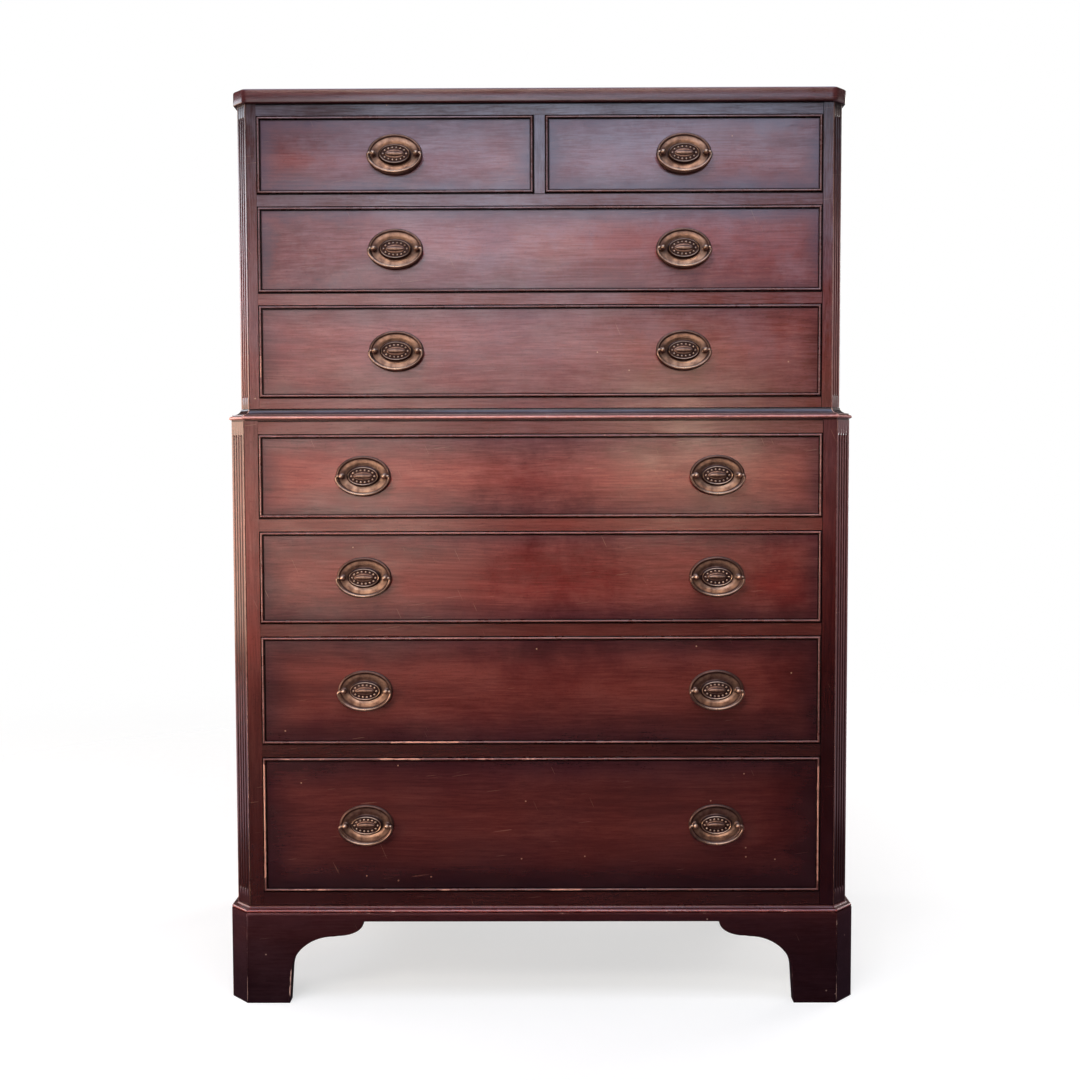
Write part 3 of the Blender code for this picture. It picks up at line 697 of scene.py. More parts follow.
@dataclass(frozen=True)
class Mahogany:
    """Lacquered mahogany: ribbon grain, painted shade by height, clouded lacquer painted bluish as the sky's
    reflection, worn arrises, grime and painted shade in quirks.
    """

    name: str
    grain: Grain
    seed: float
    dark: Colour = (0.198, 0.035, 0.028)
    middle: Colour = (0.272, 0.051, 0.040)
    light: Colour = (0.350, 0.074, 0.057)
    bare: Colour = (0.56, 0.28, 0.18)
    dirt_and_shade: Colour = (0.010, 0.004, 0.004)
    painted_sky: Colour = (0.22, 0.22, 0.30)
    sky_share: float = 0.40
    bare_start: float = 0.95
    specks: float = 0.02
    roughness: float = 0.21
    gloss: float = 0.60
    gloss_tint: Colour = (1.0, 1.0, 1.0)
    smudges: float = 0.24
    toned_low: Point | None = None
    toned_high: Point | None = None
    toning_reach: float = 0.045
    toning: Colour = (0.46, 0.42, 0.50)
    edge_sky: float = 0.45
    thin_sky_patches: tuple[Patch, ...] = ()
    dark_patches: tuple[Patch, ...] = ()
    patch_tint: Colour = (0.68, 0.50, 0.52)
    levels: tuple[Point, ...] = FRAME_SHADE_LEVELS
    top_level: float = 1.4

    def material(self) -> bpy.types.Material:
        """Build the finish: wood with painted shade by height, a painted sky reflection, toning, scuffs,
        grime with painted shade, bare wood on worn edges, and polish.

        Returns:
            The material.
        """
        nodes = Nodes(self.name)
        ground = self.ground(nodes)
        colour = self.under_painted_sky(ground, self.timber(ground))
        colour = nodes.mix(self.scuffs(ground), colour, self.bare)
        # Grime and painted shade: quirks, gaps, hollows and the shadows of beads are darkened nearly to black
        grime_and_shade = nodes.mark("grime_and_shade")
        colour = nodes.mix(grime_and_shade, colour, self.dirt_and_shade)
        worn = nodes.mark("wear")
        exposed = nodes.maths("ADD", worn, nodes.noise(ground.seeded, CHIPS))
        thin = nodes.maths("MULTIPLY", nodes.fade(worn, WORN_AT_ALL), nodes.fade(exposed, WORN_THIN))
        colour = nodes.mix(thin, colour, THIN_TINT, "MULTIPLY")
        bare = nodes.fade(exposed, Fade(self.bare_start, self.bare_start + BARE_SOFTNESS))
        colour = nodes.mix(bare, colour, self.bare)
        rough = nodes.maths("MULTIPLY_ADD", ground.mottle, ROUGH_MOTTLE, self.roughness - ROUGH_MOTTLE / 2)
        rough = nodes.maths("MULTIPLY_ADD", bare, ROUGH_BARE, rough)
        relief = nodes.maths("MULTIPLY_ADD", ground.pores, PORE_RELIEF, ground.streaks)
        return nodes.finish(Base_Color=colour, Roughness=rough, Specular_IOR_Level=self.polish(ground, grime_and_shade),
                            Normal=nodes.bump(relief, LACQUER_RELIEF, RELIEF_DEPTH),
                            Specular_Tint=(*self.gloss_tint, 1.0))

    def ground(self, nodes: Nodes) -> Ground:
        """Places on the board and the noises of its wood.

        Args:
            nodes: the material's nodes.

        Returns:
            What the layers share.
        """
        place = nodes.place()
        across, _, height = nodes.split(place)
        seeded = nodes.vector("ADD", place, tuple(self.seed * turn for turn in SEED_TURN))
        wander = nodes.vector("SUBTRACT", nodes.noise(seeded, WANDER, 1), (0.5, 0.5, 0.5))
        wander = nodes.vector("MULTIPLY", wander, (WANDER_REACH, WANDER_REACH, WANDER_REACH))
        along = nodes.vector("ADD", nodes.vector("MULTIPLY", seeded, self.grain.value), wander)
        figure, streaks, pores = (nodes.noise(along, noise) for noise in (FIGURE, STREAKS, PORES))
        cloud, mottle = (nodes.noise(seeded, noise) for noise in (CLOUD, MOTTLE))
        return Ground(nodes, seeded, across, height, figure, streaks, pores, cloud, mottle)

    def timber(self, ground: Ground) -> Socket:
        """Colour of the dyed wood, with painted shade by height, and darker patches that are painted shade on
        the lower drawers.

        Args:
            ground: places and noises of the board.

        Returns:
            The colour.
        """
        nodes = ground.nodes
        ribbon = nodes.maths("MULTIPLY", ground.figure, 1.0 - RIBBON_SHARE)
        ribbon = nodes.maths("MULTIPLY_ADD", ground.streaks, RIBBON_SHARE, ribbon)
        colour = nodes.ramp(ribbon, list(zip(RIBBON_STOPS, (self.dark, self.middle, self.light))))
        grit = nodes.noise(ground.seeded, GRIT)
        for noise, share, tint in ((ground.cloud, CLOUD_SHARE, CLOUD_TINT),
                                   (ground.pores, PORE_SHARE, PORE_TINT), (grit, GRIT_SHARE, GRIT_TINT)):
            colour = nodes.mix(nodes.fade(noise, share), colour, tint, "MULTIPLY")
        share = nodes.maths("DIVIDE", ground.height, self.top_level)
        stops = [(level / self.top_level, (tone, tone, tone)) for level, tone in self.levels]
        colour = nodes.mix(1.0, colour, nodes.ramp(share, stops), "MULTIPLY")
        if self.dark_patches:
            colour = nodes.mix(self.patch_share(ground, self.dark_patches), colour, self.patch_tint, "MULTIPLY")
        return colour

    def under_painted_sky(self, ground: Ground, colour: Socket) -> Socket:
        """Colour under the clouded lacquer painted bluish as the sky's reflection, stronger along the edges
        of the upper drawer fronts, and under the dark toning along the edges of a drawer front.

        Args:
            ground: places and noises of the board.
            colour: colour of the wood.

        Returns:
            The colour.
        """
        nodes = ground.nodes
        sky_share = self.sky_share_at(ground)
        if self.thin_sky_patches:
            kept = nodes.maths("MULTIPLY_ADD", self.patch_share(ground, self.thin_sky_patches), -THIN_SKY_SHARE, 1.0)
            sky_share = nodes.maths("MULTIPLY", sky_share, kept)
        if not (self.toned_low and self.toned_high):
            return nodes.mix(sky_share, colour, self.painted_sky)
        edge = self.edge_tone(ground)
        edge_sky_share = nodes.maths("MULTIPLY", edge, nodes.fade(ground.height, Fade(*EDGE_SKY_RISE, 0.0, self.edge_sky)))
        colour = nodes.mix(nodes.maths("MAXIMUM", sky_share, edge_sky_share), colour, self.painted_sky)
        return nodes.mix(edge, colour, self.toning, "MULTIPLY")

    def sky_share_at(self, ground: Ground) -> Socket:
        """How strong the bluish sky reflection painted into the colour is, more so towards the top and the
        right.

        Args:
            ground: places and noises of the board.

        Returns:
            Share of the bloom.
        """
        nodes = ground.nodes
        share = nodes.maths("MULTIPLY", nodes.fade(ground.height, Fade(*PAINTED_SKY_RISE, 0.0, self.sky_share)),
                            nodes.fade(ground.across, PAINTED_SKY_ACROSS))
        uneven = nodes.fade(ground.cloud, PAINTED_SKY_CLOUD)
        uneven = nodes.maths("ADD", uneven, nodes.fade(ground.mottle, PAINTED_SKY_MOTTLE))
        uneven = nodes.maths("ADD", uneven, nodes.fade(ground.streaks, PAINTED_SKY_STREAKS))
        return nodes.maths("MULTIPLY", share, nodes.maths("MAXIMUM", uneven, 0.0))

    def patch_share(self, ground: Ground, patches: Sequence[Patch]) -> Socket:
        """Where the patches are, with soft and uneven edges.

        Args:
            ground: places and noises of the board.
            patches: the patches.

        Returns:
            Share of the patches.
        """
        nodes = ground.nodes
        shares = []
        for patch in patches:
            squares = []
            for measure, middle, half in ((ground.across, patch.x, patch.half_width),
                                          (ground.height, patch.z, patch.half_height)):
                away = nodes.maths("DIVIDE", nodes.maths("SUBTRACT", measure, middle), half)
                squares.append(nodes.maths("POWER", away, 2.0))
            uneven = nodes.maths("MULTIPLY_ADD", ground.mottle, PATCH_UNEVEN, nodes.maths("ADD", *squares))
            shares.append(nodes.fade(uneven, PATCH_EDGE))
        return nodes.largest(shares)

    def edge_tone(self, ground: Ground) -> Socket:
        """How much darker a drawer front is towards its edges.

        Args:
            ground: places and noises of the board.

        Returns:
            Share of the toning.
        """
        nodes = ground.nodes
        gaps = []
        for measure, low, high in zip((ground.across, ground.height), self.toned_low, self.toned_high):
            gaps.append(nodes.maths("SUBTRACT", measure, low))
            gaps.append(nodes.maths("SUBTRACT", high, measure))
        nearest = gaps[0]
        for gap in gaps[1:]:
            nearest = nodes.maths("SMOOTH_MIN", nearest, gap, TONED_CORNER)
        uneven = nodes.maths("SUBTRACT", ground.mottle, 0.5)
        uneven = nodes.maths("MULTIPLY_ADD", uneven, TONED_UNEVEN, nearest)
        return nodes.fade(uneven, Fade(TONED_START, self.toning_reach, 1.0, 0.0))

    def scuffs(self, ground: Ground) -> Socket:
        """A few fine scratches and pale specks.

        Args:
            ground: places and noises of the board.

        Returns:
            Share of bare wood.
        """
        nodes = ground.nodes
        shares = []
        for turn, start in SCRATCH_RUNS:
            aslant = nodes.add("VectorRotate", {"rotation_type": "Y_AXIS"}, Vector=ground.seeded, Angle=turn)
            line = nodes.noise(nodes.vector("MULTIPLY", aslant.outputs[0], SCRATCH_STRETCH), SCRATCH)
            shares.append(nodes.fade(line, Fade(start, start + SCRATCH_SOFTNESS, 0.0, SCRATCH_SHARE)))
        across, deep, height = nodes.split(ground.seeded)
        flat = nodes.add("CombineXYZ", X=nodes.maths("ADD", across, deep), Y=height).outputs[0]
        cells = nodes.add("TexVoronoi", {"voronoi_dimensions": "2D"}, Vector=flat, Scale=SPECK_SPACING)
        dot = nodes.fade(cells.outputs["Distance"], SPECK_DOT)
        draw = nodes.add("SeparateColor", Color=cells.outputs["Color"]).outputs[0]
        chosen = nodes.maths("GREATER_THAN", draw, 1.0 - self.specks)
        shares.append(nodes.maths("MULTIPLY", dot, chosen))
        return nodes.largest(shares)

    def polish(self, ground: Ground, grime_and_shade: Socket) -> Socket:
        """Strength of the sheen, dulled by grime and painted shade and uneven with smudges.

        Args:
            ground: places and noises of the board.
            grime_and_shade: share of the grime and painted shade.

        Returns:
            The strength.
        """
        nodes = ground.nodes
        smudge = nodes.noise(nodes.vector("MULTIPLY", ground.seeded, SMUDGE_STRETCH), SMUDGE)
        smudge = nodes.maths("MULTIPLY", smudge, 1.0 - SMUDGE_STREAKS)
        smudge = nodes.maths("MULTIPLY_ADD", ground.streaks, SMUDGE_STREAKS, smudge)
        uneven = nodes.fade(smudge, Fade(*SMUDGE_RANGE, 1.0 - self.smudges, 1.0 + self.smudges))
        gloss = nodes.maths("MULTIPLY_ADD", grime_and_shade, -GRIME_AND_SHADE_DULL * self.gloss, self.gloss)
        return nodes.maths("MULTIPLY", gloss, uneven)


@dataclass(frozen=True)
class InnerWood:
    """Unfinished wood of the drawer boxes, runners and backs, yellowed with age."""

    name: str
    grain: Grain
    seed: float
    dark: Colour = (0.25, 0.128, 0.058)
    light: Colour = (0.45, 0.268, 0.128)
    patch_tint: Colour = (0.62, 0.50, 0.40)
    dust: Colour = (0.05, 0.028, 0.015)
    wander: Noise = Noise(3.0)
    rings: Noise = Noise(2.2, 4.0, 0.6)
    fibres: Noise = Noise(24.0, 4.0, 0.7)
    fibre_share: float = 0.4
    grain_range: Point = (0.36, 0.64)
    blotches: Noise = Noise(5.0, 4.0, 0.6)
    blotch_share: Fade = Fade(0.5, 0.75, 0.0, 0.5)
    roughness: float = 0.58
    rough_fibres: float = 0.25
    relief: float = 0.3

    def material(self) -> bpy.types.Material:
        """Build the finish.

        Returns:
            The material.
        """
        nodes = Nodes(self.name)
        place = nodes.vector("ADD", nodes.place(), (self.seed, self.seed, self.seed))
        along = nodes.vector("ADD", nodes.vector("MULTIPLY", place, self.grain.value),
                             nodes.noise(place, self.wander, 1))
        rings = nodes.maths("MULTIPLY", nodes.noise(along, self.rings), 1.0 - self.fibre_share)
        fibres = nodes.noise(along, self.fibres)
        mixed = nodes.maths("MULTIPLY_ADD", fibres, self.fibre_share, rings)
        colour = nodes.ramp(mixed, list(zip(self.grain_range, (self.dark, self.light))))
        blotches = nodes.fade(nodes.noise(place, self.blotches), self.blotch_share)
        colour = nodes.mix(blotches, colour, self.patch_tint, "MULTIPLY")
        colour = nodes.mix(nodes.mark("grime_and_shade"), colour, self.dust)
        rough = nodes.maths("MULTIPLY_ADD", fibres, self.rough_fibres, self.roughness)
        return nodes.finish(Base_Color=colour, Roughness=rough,
                            Normal=nodes.bump(mixed, self.relief, RELIEF_DEPTH))


@dataclass(frozen=True)
class AgedBrass:
    """Brass gone brown, with tarnish and painted shade in its hollows, and rubbed to a pale shine on its high
    places, which also paints its highlights.
    """

    name: str
    brown: Colour = (0.24, 0.132, 0.096)
    tarnish: Colour = (0.040, 0.021, 0.019)
    rubbed: Colour = (0.50, 0.315, 0.205)
    bright: Colour = (0.66, 0.48, 0.38)
    roughness: float = 0.36
    patches: Noise = Noise(90.0, 4.0, 0.6)
    grains: Noise = Noise(700.0, 3.0, 0.6)
    tarnished: Fade = Fade(0.40, 0.72, 0.0, 0.55)
    uneven: float = 0.7
    rubbed_share: Fade = Fade(0.25, 0.95)
    highlight_share: Fade = Fade(0.95, 1.6)
    rough_patches: float = 0.22
    rough_grime: float = 0.25
    relief: float = 0.25
    relief_depth: float = 0.0003

    def material(self) -> bpy.types.Material:
        """Build the finish.

        Returns:
            The material.
        """
        nodes = Nodes(self.name)
        place = nodes.place()
        patches = nodes.noise(place, self.patches)
        grime_and_shade = nodes.mark("grime_and_shade")
        colour = nodes.mix(nodes.fade(patches, self.tarnished), self.brown, self.tarnish)
        high = nodes.maths("SUBTRACT", patches, 0.5)
        high = nodes.maths("MULTIPLY_ADD", high, -self.uneven, nodes.mark("wear"))
        colour = nodes.mix(nodes.fade(high, self.rubbed_share), colour, self.rubbed)
        # Painted highlights where the wear runs past 0.95, mostly on the tips of the medallion's beads
        colour = nodes.mix(nodes.fade(high, self.highlight_share), colour, self.bright)
        colour = nodes.mix(grime_and_shade, colour, self.tarnish)
        smoothest = self.roughness - self.rough_patches / 2
        rough = nodes.maths("MULTIPLY_ADD", patches, self.rough_patches, smoothest)
        rough = nodes.maths("MULTIPLY_ADD", grime_and_shade, self.rough_grime, rough)
        bump = nodes.bump(nodes.noise(place, self.grains), self.relief, self.relief_depth)
        return nodes.finish(Base_Color=colour, Roughness=rough, Normal=bump, Metallic=1.0)


class Workshop:
    """Puts pieces into the scene and on their bodies, and keeps the finishes."""

    def __init__(self, frame: dict[str, Any]) -> None:
        """Keep the frame and start with no finishes."""
        self.frame = frame
        self.materials: dict[str, bpy.types.Material] = {}

    def coat(self, finish: Any) -> bpy.types.Material:
        """Material of a finish, built once.

        Args:
            finish: the finish.

        Returns:
            The material.
        """
        if finish.name not in self.materials:
            self.materials[finish.name] = finish.material()
        return self.materials[finish.name]

    def add(self, name: str, shape: Shape, finish: Any, slot: Slot, body: str, replaced: Sequence[str] = (),
            place: Vector | None = None) -> None:
        """Add one piece.

        Args:
            name: name of the piece.
            shape: its shape.
            finish: its finish.
            slot: not used.
            body: body that it moves with.
            replaced: CAD nodes that it stands for.
            place: where it goes; without it the shape is already in place.
        """
        item = shape.to_object(name, self.coat(finish))
        if place is not None:
            item.location = place
            bpy.context.view_layer.update()
        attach(item, body)
        if replaced:
            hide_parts(*replaced)
        LOG.info("%s on %s", name, body)

    def dress(self, node: str, finish: Any, slot: Slot) -> None:
        """Give a CAD node that stays in view its finish.

        Args:
            node: name of the node.
            finish: its finish.
            slot: not used.
        """
        item = self.frame["nodes"][node]
        item.data.materials.clear()
        item.data.materials.append(self.coat(finish))
        LOG.info("%s dressed", node)


# Finishes of the pieces
PLUM_SHEEN = (1.0, 0.62, 0.82)
CASE_ACROSS = Mahogany("case_across", Grain.ACROSS, 3.1)
CASE_UPRIGHT = Mahogany("case_upright", Grain.UPRIGHT, 7.7, levels=STILE_SHADE_LEVELS)
# Right stile of the lower case: darker wood, painted shade on that side
SHADED_UPRIGHT = Mahogany("shaded_upright", Grain.UPRIGHT, 13.7, dark=(0.100, 0.013, 0.011),
                        middle=(0.165, 0.024, 0.019), light=(0.225, 0.040, 0.029),
                        gloss_tint=(1.0, 0.68, 0.85))
POST_FINISH = Mahogany("corner_posts", Grain.UPRIGHT, 9.1, sky_share=0.10, gloss=0.58, smudges=0.10)
SIDE_FINISH = Mahogany("side_panels", Grain.UPRIGHT, 9.1, sky_share=0.10, gloss=0.24, smudges=0.12)
TOP_FINISH = Mahogany("top_board", Grain.ACROSS, 5.1, sky_share=0.10, smudges=0.12)
# Waist moulding: lighter than the case, a painted highlight on its bead; its levels make the ledge and cove
# nearly black, painted shade
MOULDING = Mahogany("moulding", Grain.ACROSS, 11.3, dark=(0.34, 0.122, 0.100), middle=(0.51, 0.205, 0.170),
                    light=(0.62, 0.285, 0.240), bare=(0.66, 0.40, 0.32), bare_start=1.04,
                    levels=MOULDING_SHADE_LEVELS)
BASE_MOULDING = Mahogany("base_moulding", Grain.ACROSS, 12.7, bare=(0.62, 0.42, 0.38), bare_start=1.10,
                         roughness=0.28, gloss=0.95, gloss_tint=(0.97, 0.97, 1.0),
                         levels=BASE_MOULDING_SHADE_LEVELS)
BASE_ACROSS = Mahogany("base_across", Grain.ACROSS, 17.9, bare=(0.62, 0.40, 0.33), specks=0.40,
                       roughness=0.34, gloss_tint=PLUM_SHEEN, levels=BASE_SHADE_LEVELS)
BASE_DEEP = Mahogany("base_deep", Grain.DEEP, 19.3, specks=0.12, roughness=0.34, gloss_tint=PLUM_SHEEN,
                     levels=BASE_SHADE_LEVELS)
# Cock beads: lighter than the drawer fronts, a painted highlight along them
BEAD_FINISH = Mahogany("cock_bead", Grain.ACROSS, 23.9, dark=(0.20, 0.066, 0.052),
                       middle=(0.30, 0.110, 0.088), light=(0.38, 0.16, 0.13), bare=(0.66, 0.31, 0.22),
                       roughness=0.28, levels=BEAD_SHADE_LEVELS)
BOX_WOOD = InnerWood("box_wood", Grain.DEEP, 1.9)
BACK_WOOD = InnerWood("back_wood", Grain.UPRIGHT, 5.3, dark=(0.21, 0.110, 0.050), light=(0.36, 0.205, 0.098))
PLATE_BRASS = AgedBrass("plate_brass")
# Plate brass of the lower drawers: brighter rubbed colour, painted highlights in their dishes
HIGHLIT_PLATE = AgedBrass("highlit_plate_brass", brown=(0.22, 0.118, 0.088), rubbed=(0.66, 0.42, 0.275))
BAIL_BRASS = AgedBrass("bail_brass", brown=(0.26, 0.160, 0.120), roughness=0.31)


@dataclass(frozen=True)
class Plan:
    """Plan of a case with canted front corners, which grows and shrinks by an offset."""

    half: float
    front: float
    back: float
    cut: float

    def corners(self, offset: float) -> list[Point]:
        """Corner points of the plan grown by an offset, from the back right round the front to the back left.

        Args:
            offset: growth of the front and the sides.

        Returns:
            Six points.
        """
        half, front, cut = self.half + offset, self.front - offset, self.cut + offset * CUT_GROWTH
        right = [(half, self.back), (half, front + cut), (half - cut, front)]
        return right + [(-x, y) for x, y in reversed(right)]


@dataclass
class MouldedBoard:
    """Board whose edges carry a moulding; rows of height, offset, wear, and grime with painted shade give its
    profile.
    """

    node: str
    name: str
    plan: Plan
    profile: list[Row]
    finish: Mahogany
    slot: Slot
    ease: float = 0.0011
    fade: float = 0.0025
    worn: float = 0.8

    def build(self) -> Shape:
        """Loft the plan along the profile.

        Returns:
            The shape.
        """
        shape = Shape()
        rows = []
        eases = (0, self.ease, self.ease, self.ease, self.ease, 0)
        for height, offset, wear, grime_and_shade in self.profile:
            loop = eased_loop(self.plan.corners(offset), eases, self.fade)
            worn = [max(wear, self.worn * mark) for _, _, mark in loop]
            rows.append(shape.ring([(x, y, height) for x, y, _ in loop], worn, grime_and_shade))
        shape.solid(rows)
        return shape

    def dress(self, workshop: Workshop) -> None:
        """Put the board in place of its CAD node."""
        workshop.add(self.name, self.build(), self.finish, self.slot, "case", [self.node])


@dataclass
class Mouldings:
    """Top board, waist board and base board."""

    upper: Plan
    lower: Plan
    top_round: float = 0.0026
    top_round_steps: int = 4
    top_wear: float = 0.30
    top_ease: float = 0.0045
    top_worn: float = 0.2
    waist_foot: float = 0.0021
    waist_bead_height: float = 0.0052
    waist_bead_rise: float = 0.0037
    waist_ledge: float = 0.0024
    waist_set_back: float = 0.001
    waist_lip: float = 0.001
    base_bead_height: float = 0.0045
    base_bead_rise: float = 0.0025
    base_cove_reach: float = 0.0035
    base_cove_grime: float = 0.52
    base_worn: float = 0.3
    bead_wear_and_highlight: float = 0.55
    bead_grime_and_shade: float = 0.75
    cove_wear: float = 0.3
    cove_grime: float = 0.8
    quirk: float = 0.0004
    quirk_shadow: float = 0.9
    ledge_shade: float = 0.3
    steps: int = 8

    def bead(self, start: float, height: float, inner: float, rise: float) -> list[Row]:
        """Half-round bead, worn and lighter on its nose as a painted highlight too, and darker at its roots
        with grime and painted shade.

        Args:
            start: height of its underside.
            height: its height.
            inner: offset of its root.
            rise: how far it stands out.

        Returns:
            Rows of the profile.
        """
        rows = []
        for step in range(self.steps + 1):
            turn = math.pi * step / self.steps
            nose = math.sin(turn)
            rows.append((start + height * (1 - math.cos(turn)) / 2, inner + rise * nose,
                         self.bead_wear_and_highlight * nose ** 3, self.bead_grime_and_shade * (1 - nose) ** 4))
        return rows

    def cove(self, start: float, end: float, outer: float, inner: float, grime_and_shade: float = 0.0) -> list[Row]:
        """Hollow from its outer edge below to its inner edge above.

        Args:
            start: height of its lower edge.
            end: height of its upper edge.
            outer: offset of the lower edge.
            inner: offset of the upper edge.
            grime_and_shade: least grime and painted shade in the hollow.

        Returns:
            Rows of the profile.
        """
        rows = []
        for step in range(self.steps + 1):
            share = step / self.steps
            turn = math.pi / 2 * share
            height = start + (end - start) * (1 - math.cos(turn))
            rows.append((height, outer + (inner - outer) * math.sin(turn),
                         self.cove_wear * (1 - share) ** 8, max(grime_and_shade, self.cove_grime * share ** 6)))
        return rows

    def dress_top(self, workshop: Workshop) -> None:
        """Top board, its edge rounded below and above.

        Args:
            workshop: where the board goes.
        """
        low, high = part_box("top_board")
        reach = high.x - self.upper.half
        profile = []
        for centre, first in ((low.z + self.top_round, math.pi / 2), (high.z - self.top_round, 0.0)):
            for step in range(self.top_round_steps + 1):
                turn = first - math.pi / 2 * step / self.top_round_steps
                profile.append((centre - self.top_round * math.sin(turn),
                                reach - self.top_round * (1 - math.cos(turn)),
                                self.top_wear * math.sin(2 * abs(turn)), 0.0))
        MouldedBoard("top_board", "top_board_moulded", self.upper, profile, TOP_FINISH, Slot.CASE,
                     ease=self.top_ease, worn=self.top_worn).dress(workshop)

    def dress_waist(self, workshop: Workshop) -> None:
        """Waist board: foot, bead, ledge and a cove up to the upper case.

        Args:
            workshop: where the board goes.
        """
        low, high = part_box("waist_board")
        bead_foot = low.z + self.waist_foot
        ledge = bead_foot + self.waist_bead_height
        inset = self.upper.half - self.lower.half
        # Painted shadow under the bead and painted shade on the ledge above it
        profile = [(low.z, 0.0, 0.0, self.quirk_shadow)]
        profile += self.bead(bead_foot, self.waist_bead_height, 0.0, self.waist_bead_rise)
        profile += [(ledge + self.quirk, -self.waist_set_back / 2, 0.0, self.quirk_shadow),
                    (ledge + self.waist_ledge / 2, -self.waist_set_back / 2, 0.0, self.ledge_shade)]
        profile += self.cove(ledge + self.waist_ledge, high.z, -self.waist_set_back, inset + self.waist_lip)
        board = MouldedBoard("waist_board", "waist_moulding", self.lower, profile, MOULDING, Slot.CASE)
        board.dress(workshop)

    def dress_base(self, workshop: Workshop) -> None:
        """Base board: bead and a cove up to the lower case.

        Args:
            workshop: where the board goes.
        """
        low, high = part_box("base_board")
        root = high.x - self.lower.half - self.base_bead_rise
        ledge = low.z + self.base_bead_height
        profile = self.bead(low.z, self.base_bead_height, root, self.base_bead_rise)
        # Painted shadow in the quirk above the bead
        profile.append((ledge + self.quirk / 2, self.base_cove_reach, 0.0, self.quirk_shadow))
        profile += self.cove(ledge + self.quirk, high.z, self.base_cove_reach, self.quirk,
                             self.base_cove_grime)
        MouldedBoard("base_board", "base_moulding", self.lower, profile, BASE_MOULDING, Slot.BASE,
                     worn=self.base_worn).dress(workshop)

    def dress(self, workshop: Workshop) -> None:
        """Build the three boards.

        Args:
            workshop: where the boards go.
        """
        self.dress_top(workshop)
        self.dress_waist(workshop)
        self.dress_base(workshop)


